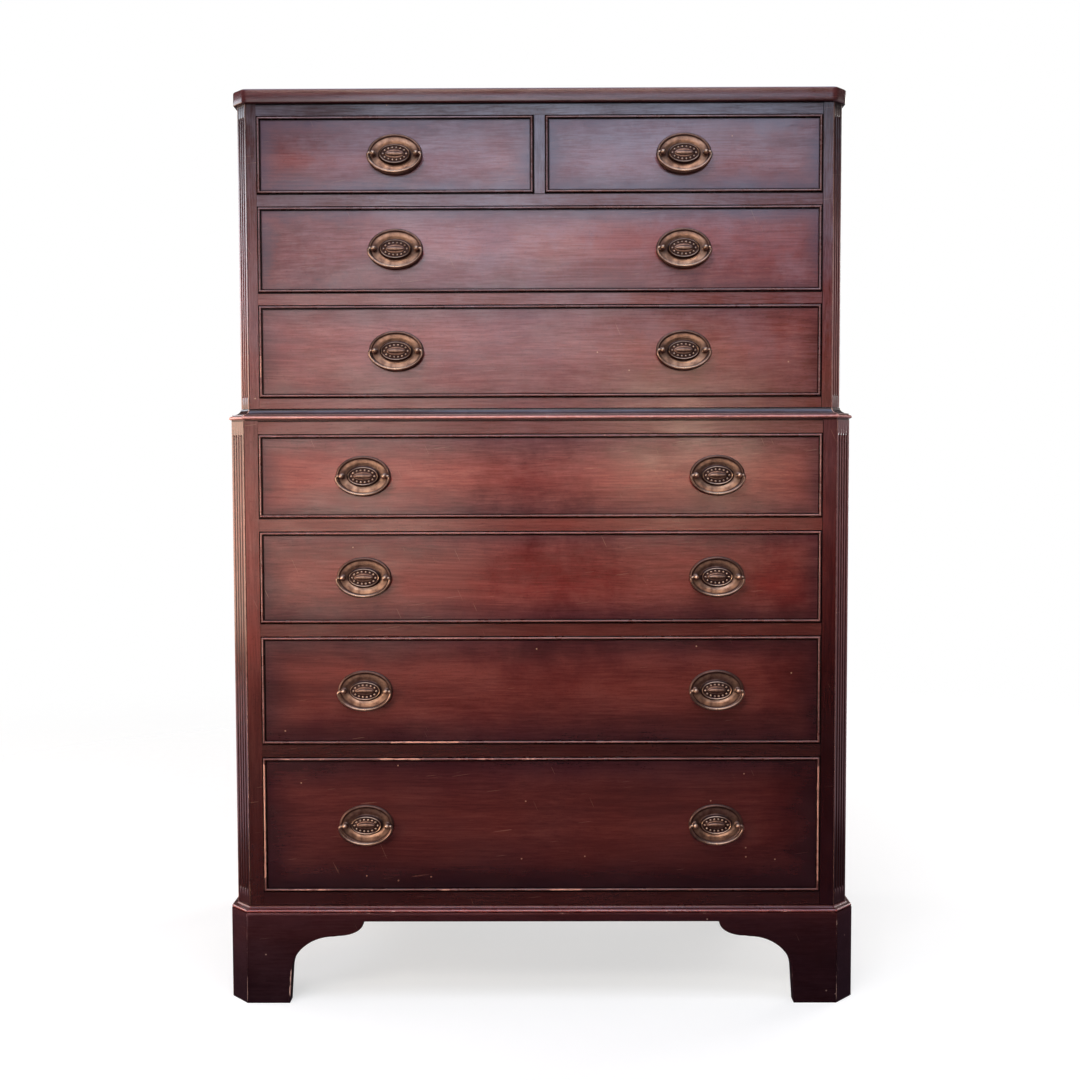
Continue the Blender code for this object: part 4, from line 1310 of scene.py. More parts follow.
@dataclass
class Stage:
    """One stage of the chest: its face frame, posts, sides, runners, back and openings."""

    name: str
    rows: tuple[tuple[str, ...], ...]
    flutes: int
    right_stile: Mahogany
    clearance: float = 0.0014
    ease: float = 0.0007
    fade: float = 0.002
    frame_ease: float = 0.00025
    arris_wear: float = 0.25
    gap_reach: float = 0.008
    gap_shade: float = 0.95
    shadow_line: float = 0.0007
    shadow_line_darkness: Point = (0.9, 0.8)
    flute_width: float = 0.0040
    flute_depth: float = 0.0013
    flute_steps: int = 8
    flute_wear: float = 0.34
    flute_shade: float = 0.75
    flute_end: float = 0.004
    flute_end_steps: int = 3
    plain_end_darkening: float = 0.0
    runner_relief: float = 0.003
    runner_reach: float = 0.0115
    runner_ease: float = 0.001
    runner_wear: float = 1.0
    side_thickness: float = 0.019
    post_depth: float = 0.034
    post_wear: float = 0.75
    joint_ease: float = 0.0003
    joint_wear: float = 0.3
    low: Vector = field(init=False)
    high: Vector = field(init=False)
    plan: Plan = field(init=False)
    openings: list[Place] = field(init=False)

    def __post_init__(self) -> None:
        """Read the places of the stage from the frame."""
        self.low, self.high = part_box(self.name + "_front_frame")
        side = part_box(self.name + "_right_side")[1]
        self.plan = Plan(side.x, self.low.y, side.y, side.x - self.high.x)
        self.openings = [self.opening(row) for row in self.rows]

    def opening(self, row: tuple[str, ...]) -> Place:
        """Half width, lowest and highest level of the opening of a row.

        Args:
            row: drawers of the row.

        Returns:
            The three sizes.
        """
        corners = [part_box(drawer + "_front") for drawer in row]
        half = max(high.x for _, high in corners) + self.clearance
        return half, corners[0][0].z - self.clearance, corners[0][1].z + self.clearance

    def board(self, is_rail: bool, left: float, right: float, low: float, high: float) -> Shape:
        """Stile or rail: crisp front arrises, painted shade just inside the openings, and a painted shadow
        line along a rail's upper edge and a stile's left edge.

        Args:
            is_rail: whether it runs across.
            left: its left edge.
            right: its right edge.
            low: its lower edge.
            high: its upper edge.

        Returns:
            The shape.
        """
        ease, line = self.frame_ease, self.shadow_line
        inside = [(0.0, self.high.y - self.low.y, 0.0, 0.0), (0.0, self.gap_reach, 0.0, 0.0),
                  (0.0, self.gap_reach / 2, 0.0, self.gap_shade), (0.0, ease, 0.0, self.gap_shade)]
        crisp = inside + [(ease, 0.0, self.arris_wear, 0.0), (ease + self.fade / 2, 0.0, 0.0, 0.0)]
        shadowed = inside + [(ease, 0.0, 0.0, self.shadow_line_darkness[0]), (ease + line, 0.0, 0.0, self.shadow_line_darkness[1]),
                          (ease + 2 * line, 0.0, 0.0, 0.0)]
        first, second = (crisp, shadowed) if is_rail else (shadowed, crisp)
        edges, ends = ((low, high), (left, right)) if is_rail else ((left, right), (low, high))
        section = [(edges[0] + offset, *rest) for offset, *rest in first]
        section += [(edges[1] - offset, *rest) for offset, *rest in reversed(second)]
        places, depths, wear, grime_and_shade = zip(*section)
        shape = Shape()
        rows = []
        for end in ends:
            points = [(end, self.low.y + depth, place) if is_rail else (place, self.low.y + depth, end)
                      for place, depth in zip(places, depths)]
            rows.append(shape.ring(points, wear, grime_and_shade))
        shape.solid(rows)
        return shape

    def dress_frame(self, workshop: Workshop) -> None:
        """Stiles, rails and centre stile.

        Args:
            workshop: where the pieces go.
        """
        node = self.name + "_front_frame"
        half = self.openings[0][0]
        left_stile = self.board(False, self.low.x, -half, self.low.z, self.high.z)
        workshop.add(self.name + "_left_stile", left_stile, CASE_UPRIGHT, Slot.CASE, "case", [node])
        right_stile = self.board(False, half, self.high.x, self.low.z, self.high.z)
        workshop.add(self.name + "_right_stile", right_stile, self.right_stile, Slot.CASE, "case")
        levels = [self.low.z]
        for _, low, high in self.openings:
            levels += [low, high]
        levels.append(self.high.z)
        for number, (low, high) in enumerate(zip(levels[::2], levels[1::2]), 1):
            rail = self.board(True, -half, half, low, high)
            workshop.add("%s_rail_%d" % (self.name, number), rail, CASE_ACROSS, Slot.CASE, "case")
        for row, (_, low, high) in zip(self.rows, self.openings):
            if len(row) > 1:
                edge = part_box(row[1] + "_front")[0].x - self.clearance
                stile = self.board(False, -edge, edge, low, high)
                workshop.add(self.name + "_centre_stile", stile, CASE_UPRIGHT, Slot.CASE, "case")

    def flute_points(self, start: Vector, end: Vector, depth: float) -> list[Row]:
        """Section of the flutes along a cant.

        Args:
            start: back corner of the cant.
            end: front corner of it.
            depth: share of the flutes' full depth.

        Returns:
            X, Y, wear, and painted shade in the hollows of the flutes, with a darkening over the plain ends.
        """
        along = (end - start).normalized()
        inwards = Vector((along.y, -along.x))
        pitch = (end - start).length / (self.flutes + 1)
        points = []
        for flute in range(self.flutes):
            middle = start + along * pitch * (flute + 1)
            for step in range(self.flute_steps + 1):
                share = 2 * step / self.flute_steps - 1
                hollow = 1 - share ** 2
                point = middle + along * share * self.flute_width / 2
                point += inwards * depth * self.flute_depth * hollow
                # Painted shade in each flute's hollow, and a darkening over the plain ends of the cant
                grime_and_shade = max(self.flute_shade * math.sqrt(depth) * hollow, self.plain_end_darkening * (1 - depth))
                points.append((*point, self.flute_wear * depth * abs(share) ** 6, grime_and_shade))
        return points

    def post_loop(self, depth: float) -> list[Row]:
        """Plan of the right corner post with its fluted cant.

        Args:
            depth: share of the flutes' full depth.

        Returns:
            X, Y, wear, and painted shade in the hollows of the flutes.
        """
        cant = self.plan.corners(0.0)[1:3]
        inner, back = self.plan.half - self.side_thickness, self.plan.front + self.post_depth
        outline = [(self.plan.half, back), *cant]
        outline += [(cant[1][0], self.high.y), (inner, self.high.y), (inner, back)]
        eased = eased_loop(outline, (0, self.ease, self.ease, 0, 0, 0), self.fade)
        loop = [(*point, 0.0) for point in eased]
        before = 1 + ROUNDED_POINTS
        return loop[:before] + self.flute_points(Vector(cant[0]), Vector(cant[1]), depth) + loop[before:]

    def post(self, sign: int) -> Shape:
        """Corner post whose flutes stop short of its ends.

        Args:
            sign: 1 for the right post, -1 for the left one.

        Returns:
            The shape.
        """
        foot, head = self.openings[0][1], self.openings[-1][2]
        levels = [(self.low.z, 0.0), (foot, 0.0)]
        for step in range(1, self.flute_end_steps + 1):
            share = step / self.flute_end_steps
            levels.append((foot + self.flute_end * share, math.sin(math.pi / 2 * share)))
        levels += [(foot + head - level, depth) for level, depth in reversed(levels[1:])]
        levels.append((self.high.z, 0.0))
        shape = Shape()
        rows = []
        for level, depth in levels:
            across, deep, wear, grime_and_shade = zip(*self.post_loop(depth))
            points = [(sign * x, y, level) for x, y in zip(across, deep)]
            rows.append(shape.ring(points, [self.post_wear * mark for mark in wear], grime_and_shade))
        shape.solid(rows)
        return shape

    def dress_side(self, workshop: Workshop, label: str, sign: int) -> None:
        """Corner post, side panel behind it, and the runners along the panel.

        Args:
            workshop: where the pieces go.
            label: left or right.
            sign: -1 or 1.
        """
        stem = "%s_%s_" % (self.name, label)
        node = stem + "side"
        workshop.add(stem + "post", self.post(sign), POST_FINISH, Slot.CASE, "case", [node])
        inner = self.plan.half - self.side_thickness
        left, right = sorted((sign * inner, sign * self.plan.half))
        panel = eased_board((left, self.plan.front + self.post_depth, self.low.z),
                            (right, self.plan.back, self.high.z), self.joint_ease, self.fade, self.joint_wear)
        workshop.add(stem + "panel", panel, SIDE_FINISH, Slot.CASE, "case", [node])
        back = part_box(self.name + "_back")[0].y
        below = self.low.z
        for number, (half, low, high) in enumerate(self.openings, 1):
            left, right = sorted((sign * (half - self.runner_reach), sign * inner))
            runner = eased_board((left, self.high.y, below + self.runner_relief), (right, back, low),
                                 self.runner_ease, self.fade, self.runner_wear)
            workshop.add("%srunner_%d" % (stem, number), runner, BOX_WOOD, Slot.INNER, "case")
            below = high

    def dress(self, workshop: Workshop) -> None:
        """Build the whole stage.

        Args:
            workshop: where the pieces go.
        """
        self.dress_frame(workshop)
        self.dress_side(workshop, "left", -1)
        self.dress_side(workshop, "right", 1)
        workshop.dress(self.name + "_back", BACK_WOOD, Slot.INNER)


@dataclass
class BracketBase:
    """Bracket base: front board with two feet and an apron, canted corner blocks and side boards."""

    lower: Plan
    thickness: float = 0.022
    foot_width: float = 0.0930
    foot_lean: float = 0.0032
    foot_straight: float = 0.0484
    cove_reach: float = 0.0643
    cove_rise: float = 0.0540
    step_width: float = 0.0071
    step_rise: float = 0.001
    nose_reach: float = 0.0382
    nose_rise: float = 0.0206
    cusp_rise: float = 0.0014
    ease: float = 0.0011
    fade: float = 0.003
    worn: float = 0.42
    rubbed: float = 0.66
    rubbed_low: float = 0.010
    rubbed_high: float = 0.052
    sole_draw: float = 0.4
    sole_wear: Point = (0.6, 0.5)
    foot_steps: int = 6
    steps: int = 14

    def curve(self) -> list[Point]:
        """Inner edge of a foot from the floor up.

        Returns:
            Distances from the foot's outer face and heights.
        """
        cove_start = self.foot_width + self.foot_lean
        nose_start = cove_start + self.cove_reach + self.step_width
        nose_low = self.foot_straight + self.cove_rise + self.step_rise
        turns = [math.pi / 2 * step / self.steps for step in range(self.steps + 1)]
        shares = [step / self.foot_steps for step in range(self.foot_steps)]
        points = [(self.foot_width + self.foot_lean * share, self.foot_straight * share) for share in shares]
        points += [(cove_start + self.cove_reach * (1 - math.cos(turn)),
                    self.foot_straight + self.cove_rise * math.sin(turn)) for turn in turns]
        points += [(nose_start + self.nose_reach * math.sin(turn),
                    nose_low + self.nose_rise * (1 - math.cos(turn))) for turn in turns]
        points.append((nose_start + self.nose_reach, nose_low + self.nose_rise + self.cusp_rise))
        return points

    def slab(self, outline: Sequence[Point], to_model: Callable[[float, float, float], Place]) -> Shape:
        """Board of the base with eased, worn edges.

        Args:
            outline: corner points, anticlockwise as seen from the show side.
            to_model: turns two outline sizes and a depth into a place.

        Returns:
            The shape.
        """
        slant = self.ease * (1 - math.sqrt(0.5))
        far = self.ease + self.fade
        front = [(*step, wear) for step, wear in
                 zip(((far, 0.0), (self.ease, 0.0), (slant, slant), (0.0, self.ease), (0.0, far)), SLAB_WEAR)]
        back = [(inset, self.thickness - depth, wear) for inset, depth, wear in reversed(front)]
        shape = Shape()
        rows = []
        for inset, depth, wear in front + back:
            points = [to_model(u, v, depth) for u, v in inset_outline(outline, inset)]
            rows.append(shape.ring(points, wear * self.worn))
        shape.solid(rows)
        return shape

    def corner_block(self, low: Vector, high: Vector, cut: float, sign: int) -> Shape:
        """Canted block at one front corner of the base.

        Args:
            low: lowest corner of the front of the base.
            high: highest corner of it.
            cut: size of the cant.
            sign: 1 for the right corner, -1 for the left one.

        Returns:
            The shape.
        """
        half, front, back = high.x, low.y, high.y
        corners = [(half, back), (half, front + cut), (half - cut, front), (half - cut, back)]
        loop = eased_loop(corners, (0, self.ease, self.ease, 0), self.fade)
        levels = ((0.0, self.sole_draw * self.ease, self.sole_wear[0], self.worn),
                  (self.ease, 0.0, self.sole_wear[1], self.worn),
                  (self.ease + self.fade, 0.0, 0.0, self.rubbed),
                  (self.rubbed_high / 2, 0.0, 0.0, self.rubbed),
                  (self.rubbed_high, 0.0, 0.0, self.worn), (high.z, 0.0, 0.0, self.worn))
        shape = Shape()
        rows = []
        for level, draw, wear, worn in levels:
            points = [(sign * (x - draw), y + draw, level) for x, y, _ in loop]
            rows.append(shape.ring(points, [worn * max(wear, mark) for _, _, mark in loop]))
        shape.solid(rows)
        return shape

    def dress_front(self, workshop: Workshop) -> None:
        """Front board with its two corner blocks.

        Args:
            workshop: where the board goes.
        """
        low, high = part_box("bracket_base_front")
        half, top = high.x, high.z
        cut = self.lower.cut + (half - self.lower.half) * CUT_GROWTH
        edge = half - cut
        right = [(half - inset, height) for inset, height in self.curve()]
        outline = [(edge, 0.0), (edge, top), (-edge, top), (-edge, 0.0)]
        outline += [(-x, height) for x, height in right] + right[::-1]
        shape = self.slab(outline, lambda u, v, w: (u, low.y + w, v))
        inner = half - self.foot_width - self.foot_lean
        shape.rub((-half, low.y, self.rubbed_low), (-inner + self.ease, high.y, self.rubbed_high),
                  self.rubbed)
        for sign in (-1, 1):
            shape.join(self.corner_block(low, high, cut, sign), Matrix.Identity(4))
        workshop.add("bracket_front_board", shape, BASE_ACROSS, Slot.BASE, "case", ["bracket_base_front"])

    def dress_side(self, workshop: Workshop, label: str, sign: int) -> None:
        """Side board with its two feet.

        Args:
            workshop: where the board goes.
            label: left or right.
            sign: -1 or 1.
        """
        node = "bracket_base_" + label
        front_low, front_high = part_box("bracket_base_front")
        low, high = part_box(node)
        top = front_high.z
        curve = self.curve()
        rise = [(front_low.y + inset, height) for inset, height in curve]
        fall = [(high.y - inset, height) for inset, height in reversed(curve)]
        outline = [(low.y, top), (low.y, 0.0), *rise, *fall, (high.y, 0.0), (high.y, top)]
        shape = self.slab(outline, lambda u, v, w: (sign * (front_high.x - w), u, v))
        workshop.add("bracket_%s_board" % label, shape, BASE_DEEP, Slot.BASE, "case", [node])

    def dress(self, workshop: Workshop) -> None:
        """Build the boards and put them in place of the CAD nodes.

        Args:
            workshop: where the boards go.
        """
        self.dress_front(workshop)
        self.dress_side(workshop, "left", -1)
        self.dress_side(workshop, "right", 1)
        workshop.dress("base_back_rail", BACK_WOOD, Slot.INNER)


# Sections of the pull with rise, wear and grime: rim and medallion by inset, dish by share of the way in;
# the wear also paints the dish's highlights, and the grime is also painted shade in the hollows and next to
# the medallion
PULL_RIM: tuple[Row, ...] = (
    (0.0, 0.0, 0.0, 0.8), (0.0, 0.0014, 0.0, 0.6), (0.0006, 0.0024, 0.0, 0.45),
    (0.0016, 0.0031, 0.2, 0.25), (0.0024, 0.0033, 0.3, 0.2), (0.0032, 0.0031, 0.2, 0.3),
    (0.0040, 0.0025, 0.0, 0.75), (0.0046, 0.0021, 0.0, 0.9))
PULL_DISH: tuple[Row, ...] = (
    (0.06, 0.00205, 0.3, 0.4), (0.16, 0.0020, 0.45, 0.1), (0.30, 0.0019, 0.45, 0.0),
    (0.46, 0.00175, 0.45, 0.0), (0.55, 0.0016, 0.48, 0.0), (0.65, 0.00125, 0.50, 0.0),
    (0.75, 0.0009, 0.50, 0.0), (0.84, 0.0006, 0.35, 0.25), (0.92, 0.0012, 0.1, 0.7),
    (0.97, 0.0028, 0.0, 0.9), (1.0, 0.0047, 0.0, 0.95))
PULL_MEDAL: tuple[Row, ...] = (
    (0.0002, 0.0056, 0.2, 0.2), (0.0005, 0.0063, 0.6, 0.0), (0.0010, 0.0066, 0.85, 0.0),
    (0.0015, 0.0064, 0.6, 0.0), (0.0020, 0.0058, 0.1, 0.5), (0.0025, 0.0054, 0.0, 0.9))
# Boss in the middle of the medallion: half width, half height, rise above its floor, wear, and grime with
# painted shade in its crease
PULL_BOSS: tuple[tuple[float, ...], ...] = (
    (0.0142, 0.0064, 0.0000, 0.1, 0.8), (0.0138, 0.0058, 0.0003, 0.35, 0.2),
    (0.0132, 0.0044, 0.0005, 0.4, 0.1), (0.0130, 0.0033, 0.0005, 0.0, 0.8),
    (0.0127, 0.0029, 0.0011, 0.2, 0.4), (0.0120, 0.0022, 0.0016, 0.45, 0.1),
    (0.0100, 0.0013, 0.0019, 0.5, 0.1), (0.0060, 0.0006, 0.0020, 0.5, 0.1),
    (0.0030, 0.0003, 0.0020, 0.5, 0.1))
# Collar of a post: radius as a multiple of the neck, height, wear, and grime with painted shadow at its foot
PULL_COLLAR: tuple[Row, ...] = (
    (1.75, 0.0012, 0.0, 0.9), (1.75, 0.0030, 0.1, 0.5), (1.5, 0.0037, 0.6, 0.0), (1.05, 0.0042, 0.0, 0.8))
# Shoulder of the bail: shares of its reach and of its fall, radius as a multiple of the bail's, and wear
BAIL_SHOULDER: tuple[Row, ...] = (
    (0.0, 0.0, 0.95, 0.5), (0.35, 0.03, 1.02, 0.9), (0.68, 0.16, 0.96, 0.6), (0.90, 0.38, 0.92, 0.5),
    (1.0, 0.68, 0.92, 0.5))


@dataclass
class OvalPull:
    """Oval brass pull: dished plate with a rim, a beaded medallion and two ball posts, and a hanging bail."""

    finish: AgedBrass
    half_width: float = 0.041
    half_height: float = 0.0305
    medal_width: float = 0.0228
    medal_height: float = 0.0138
    sides: int = 64
    post_x: float = 0.03175
    stand_off: float = 0.011
    ball: float = 0.0038
    neck: float = 0.0027
    ball_tip: float = 0.05
    ball_steps: int = 8
    ball_wear: float = 0.35
    neck_shade: float = 0.6
    post_shadow: float = 0.62
    post_sides: int = 24
    beads: int = 14
    bead_width: float = 0.0173
    bead_height: float = 0.0089
    bead_radius: float = 0.0017
    bead_turns: tuple[float, ...] = (0.0, 0.35, 0.7, 1.05, 1.3, 1.5)
    bead_wear_and_highlight: float = 1.35
    bead_grime_and_shade: float = 0.9
    bead_sides: int = 12
    bead_measures: int = 720
    bail_radius: float = 0.0023
    bail_slim: float = 0.92
    bail_width: float = 0.0397
    bail_drop: float = 0.0275
    bail_start: float = 0.14
    bail_steps: int = 32
    bail_wear: Point = (0.35, 0.25)
    bail_sides: int = 16
    bail_gap: float = 0.0003
    pintle_radius: float = 0.0015
    pintle_depth: float = 0.0017
    pintle_step: float = 0.0006
    pintle_wear: Point = (0.2, 0.3)

    def oval(self, shape: Shape, width: float, height: float, rise: float, wear: float, grime_and_shade: float,
             by_posts: float = 0.0) -> list[int]:
        """One oval row of points.

        Args:
            shape: where it goes.
            width: half width.
            height: half height.
            rise: rise from the drawer front.
            wear: wear of the row.
            grime_and_shade: grime and painted shade of the row.
            by_posts: painted shadow of the posts on the dish.

        Returns:
            Numbers of the points.
        """
        turns = full_turn(self.sides)
        points = [(width * math.cos(turn), -rise, height * math.sin(turn)) for turn in turns]
        dirt_and_shade = [max(grime_and_shade, by_posts * abs(math.cos(turn)) ** 6) for turn in turns]
        return shape.ring(points, wear, dirt_and_shade)

    def plate(self) -> Shape:
        """Plate with its rim, dish, medallion, beads and posts.

        Returns:
            The shape.
        """
        shape = Shape()
        rows = [self.oval(shape, self.half_width - inset, self.half_height - inset, *marks)
                for inset, *marks in PULL_RIM]
        width, height = self.half_width - PULL_RIM[-1][0], self.half_height - PULL_RIM[-1][0]
        rows += [self.oval(shape, width + (self.medal_width - width) * share,
                           height + (self.medal_height - height) * share, *marks, self.post_shadow)
                 for share, *marks in PULL_DISH]
        rows += [self.oval(shape, self.medal_width - inset, self.medal_height - inset, *marks)
                 for inset, *marks in PULL_MEDAL]
        floor = PULL_MEDAL[-1][1]
        rows += [self.oval(shape, width, height, floor + rise, *marks)
                 for width, height, rise, *marks in PULL_BOSS]
        shape.solid(rows)
        self.add_beads(shape, floor)
        self.add_posts(shape)
        return shape

    def add_beads(self, shape: Shape, floor: float) -> None:
        """Ring of small beads inside the medallion's rim, evenly spaced along their oval.

        Args:
            shape: the plate.
            floor: rise of the medallion's floor.
        """
        # Wear rising to each bead's tip paints its highlight; grime and painted shade at its foot
        bead = turned([(self.bead_radius * math.cos(turn), self.bead_radius * math.sin(turn),
                        self.bead_wear_and_highlight * math.sin(turn), self.bead_grime_and_shade * math.cos(turn) ** 8)
                       for turn in self.bead_turns], self.bead_sides)
        oval = [Vector((self.bead_width * math.cos(turn), -floor, self.bead_height * math.sin(turn)))
                for turn in full_turn(self.bead_measures)]
        lengths = [0.0]
        for first, second in zip(oval, oval[1:] + oval[:1]):
            lengths.append(lengths[-1] + (second - first).length)
        for index in range(self.beads):
            goal = lengths[-1] * index / self.beads
            nearest = min(range(self.bead_measures), key=lambda step: abs(lengths[step] - goal))
            shape.join(bead, Matrix.Translation(oval[nearest]))

    def add_posts(self, shape: Shape) -> None:
        """Two ball-headed posts on small collars, with painted shadow at their feet and under their balls.

        Args:
            shape: the plate.
        """
        profile = [(self.neck * radius, height, wear, grime_and_shade) for radius, height, wear, grime_and_shade in PULL_COLLAR]
        first = math.pi - math.asin(self.neck / self.ball)
        for step in range(self.ball_steps + 1):
            share = step / self.ball_steps
            turn = first - (first - self.ball_tip) * share
            profile.append((self.ball * math.sin(turn), self.stand_off + self.ball * math.cos(turn),
                            self.ball_wear + (1 - self.ball_wear) * share, 0.0 if step else self.neck_shade))
        post = turned(profile, self.post_sides)
        for side in (-1, 1):
            shape.join(post, Matrix.Translation((side * self.post_x, 0.0, 0.0)))

    def bail(self) -> Shape:
        """Half-oval bail with slim pintles turned in towards the posts.

        Returns:
            The shape, with the pintles along X through the origin.
        """
        shoulder = self.post_x + self.ball + self.bail_gap
        reach = self.bail_width * math.cos(self.bail_start) - shoulder
        fall = self.bail_drop * math.sin(self.bail_start)
        half = [(self.post_x - self.pintle_depth, 0.0, self.pintle_radius, self.pintle_wear[0]),
                (shoulder - self.pintle_step, 0.0, self.pintle_radius, self.pintle_wear[1])]
        half += [(shoulder + reach * out, -fall * down, self.bail_radius * thick, wear)
                 for out, down, thick, wear in BAIL_SHOULDER]
        route = [(-x, z, radius, wear) for x, z, radius, wear in half]
        for step in range(self.bail_steps + 1):
            turn = self.bail_start + (math.pi - 2 * self.bail_start) * step / self.bail_steps
            low = math.sin(turn)
            route.append((-self.bail_width * math.cos(turn), -self.bail_drop * low,
                          self.bail_radius * (self.bail_slim + (1 - self.bail_slim) * low),
                          self.bail_wear[0] + self.bail_wear[1] * low ** 4))
        return bent_rod(route + half[::-1], self.bail_sides)

    def dress(self, workshop: Workshop, plate_node: str, drawer: str) -> None:
        """Put one pull on its drawer.

        Args:
            workshop: where the pieces go.
            plate_node: CAD node of its plate.
            drawer: the drawer's body.
        """
        low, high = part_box(plate_node)
        place = Vector(((low.x + high.x) / 2, high.y, (low.z + high.z) / 2))
        stem = plate_node.removesuffix("_plate")
        workshop.add(stem + "_plate_brass", self.plate(), self.finish, Slot.PLATE, drawer, [plate_node],
                     place)
        hinge = place - Vector((0.0, self.stand_off, 0.0))
        body = stem.removesuffix("_pull") + "_bail"
        workshop.add(stem + "_bail_brass", self.bail(), BAIL_BRASS, Slot.BAIL, body, [stem + "_bail"], hinge)


@dataclass(frozen=True)
class WornRun:
    """Length of a cock bead that is worn down to bare wood, as shares of the bead's length."""

    start: float
    end: float
    amount: float


@dataclass
class Drawer:
    """Drawer front with a cock bead, and its box and pulls."""

    name: str
    pulls: tuple[str, ...]
    seed: float
    brass: AgedBrass = PLATE_BRASS
    toning: Colour = (0.46, 0.42, 0.50)
    toning_reach: float = 0.045
    bead_width: float = 0.0032
    bead_rise: float = 0.0022
    bead_steps: int = 8
    bead_grime_and_shade: float = 0.9
    back_grime: Point = (0.5, 0.6)
    quirk: float = 0.0014
    narrow_quirk: float = 0.0005
    quirk_depth: float = 0.0016
    edge_shade: float = 0.5
    ease: float = 0.0006
    fade: float = 0.0020
    polish: float = 0.24
    run_fade: float = 0.012
    worn_left: tuple[WornRun, ...] = ()
    worn_right: tuple[WornRun, ...] = ()
    worn_foot: tuple[WornRun, ...] = ()
    worn_head: tuple[WornRun, ...] = ()
    thin_sky_patches: tuple[Patch, ...] = ()
    dark_patches: tuple[Patch, ...] = ()
    patch_tint: Colour = (0.68, 0.50, 0.52)
    specks: float = 0.02

    def bead_section(self, thickness: float) -> list[Row]:
        """Section of the cock bead.

        Args:
            thickness: thickness of the drawer front.

        Returns:
            Distance from the edge, depth, share of wear, and grime with painted shadow, black on the bead's
            sides next to the gap and the quirk.
        """
        half = self.bead_width / 2
        section = [(0.0, thickness, 0.0, self.back_grime[0]), (0.0, self.quirk_depth * 4, 0.0, 1.0)]
        for step in range(self.bead_steps + 1):
            turn = math.pi * step / self.bead_steps
            nose = math.sin(turn)
            section.append((half * (1 - math.cos(turn)), half - self.bead_rise - half * nose, nose ** 0.5,
                            self.bead_grime_and_shade * (1 - nose) ** 2))
        section += [(self.bead_width, self.quirk_depth, 0.0, 1.0),
                    (self.bead_width, thickness, 0.0, self.back_grime[1])]
        return section

    def panel(self, low: Vector, high: Vector) -> Shape:
        """Flat inside the bead, parted from it by a black quirk, a painted shadow of the bead that is wider
        at the head and on the left.

        Args:
            low: lowest corner of the drawer front.
            high: highest corner of it.

        Returns:
            The shape.
        """
        face = low.y + self.bead_rise
        profile = ((self.ease + self.fade, 1, 0.0, 0.0), (self.ease, 1, 0.0, self.edge_shade),
                   (0.0, 1, self.ease, 1.0), (0.0, 1, self.quirk_depth, 1.0), (0.0, 0, self.quirk_depth, 1.0),
                   (0.0, 0, high.y - face, self.back_grime[1]))
        shape = Shape()
        rows = []
        for offset, beyond, depth, grime_and_shade in profile:
            wide = self.bead_width + offset + beyond * self.quirk
            narrow = self.bead_width + offset + beyond * self.narrow_quirk
            left, right, foot, head = low.x + wide, high.x - narrow, low.z + narrow, high.z - wide
            corners = ((left, foot), (right, foot), (right, head), (left, head))
            rows.append(shape.ring([(x, face + depth, z) for x, z in corners], 0.0, grime_and_shade))
        shape.solid(rows)
        return shape

    def bead(self, low: Vector, high: Vector) -> Shape:
        """Cock bead: four strips with mitred ends.

        Args:
            low: lowest corner of the drawer front.
            high: highest corner of it.

        Returns:
            The shape.
        """
        face = low.y + self.bead_rise
        section = self.bead_section(high.y - face)
        left_foot, left_head = (low.x, low.z, 1, 1), (low.x, high.z, 1, -1)
        right_foot, right_head = (high.x, low.z, -1, 1), (high.x, high.z, -1, -1)
        shape = Shape()
        for runs, *ends in ((self.worn_left, left_foot, left_head), (self.worn_right, right_foot, right_head),
                            (self.worn_foot, left_foot, right_foot), (self.worn_head, left_head, right_head)):
            rows = []
            for share, worn in self.wear_steps(runs):
                points = []
                for inset, depth, _, _ in section:
                    first, second = (Vector((x + inset * right, z + inset * up)) for x, z, right, up in ends)
                    spot = first.lerp(second, share)
                    points.append((spot.x, face + depth, spot.y))
                rows.append(shape.ring(points, [worn * mark for _, _, mark, _ in section],
                                       [mark for _, _, _, mark in section]))
            shape.loft(rows)
        return shape

    def wear_steps(self, runs: Sequence[WornRun]) -> list[Point]:
        """Wear along one strip of the bead.

        Args:
            runs: its worn lengths in order.

        Returns:
            Shares of the length and their wear.
        """
        steps = [(0.0, self.polish)]
        for run in runs:
            steps += [(run.start, self.polish), (run.start + self.run_fade, run.amount),
                      (run.end - self.run_fade, run.amount), (run.end, self.polish)]
        return steps + [(1.0, self.polish)]

    def dress(self, workshop: Workshop) -> None:
        """Build the front, its bead and its pulls, and finish the box.

        Args:
            workshop: where the pieces go.
        """
        node = self.name + "_front"
        low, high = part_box(node)
        inset = self.bead_width
        finish = Mahogany(self.name + "_mahogany", Grain.ACROSS, self.seed, levels=DRAWER_SHADE_LEVELS,
                          toned_low=(low.x + inset, low.z + inset),
                          toned_high=(high.x - inset, high.z - inset),
                          toning=self.toning, toning_reach=self.toning_reach, thin_sky_patches=self.thin_sky_patches,
                          dark_patches=self.dark_patches, patch_tint=self.patch_tint, specks=self.specks)
        workshop.add(self.name + "_panel", self.panel(low, high), finish, Slot.DRAWER, self.name, [node])
        workshop.add(self.name + "_cock_bead", self.bead(low, high), BEAD_FINISH, Slot.DRAWER, self.name)
        workshop.dress(self.name + "_box", BOX_WOOD, Slot.INNER)
        for label in self.pulls:
            OvalPull(self.brass).dress(workshop, self.name + label + "_pull_plate", self.name)


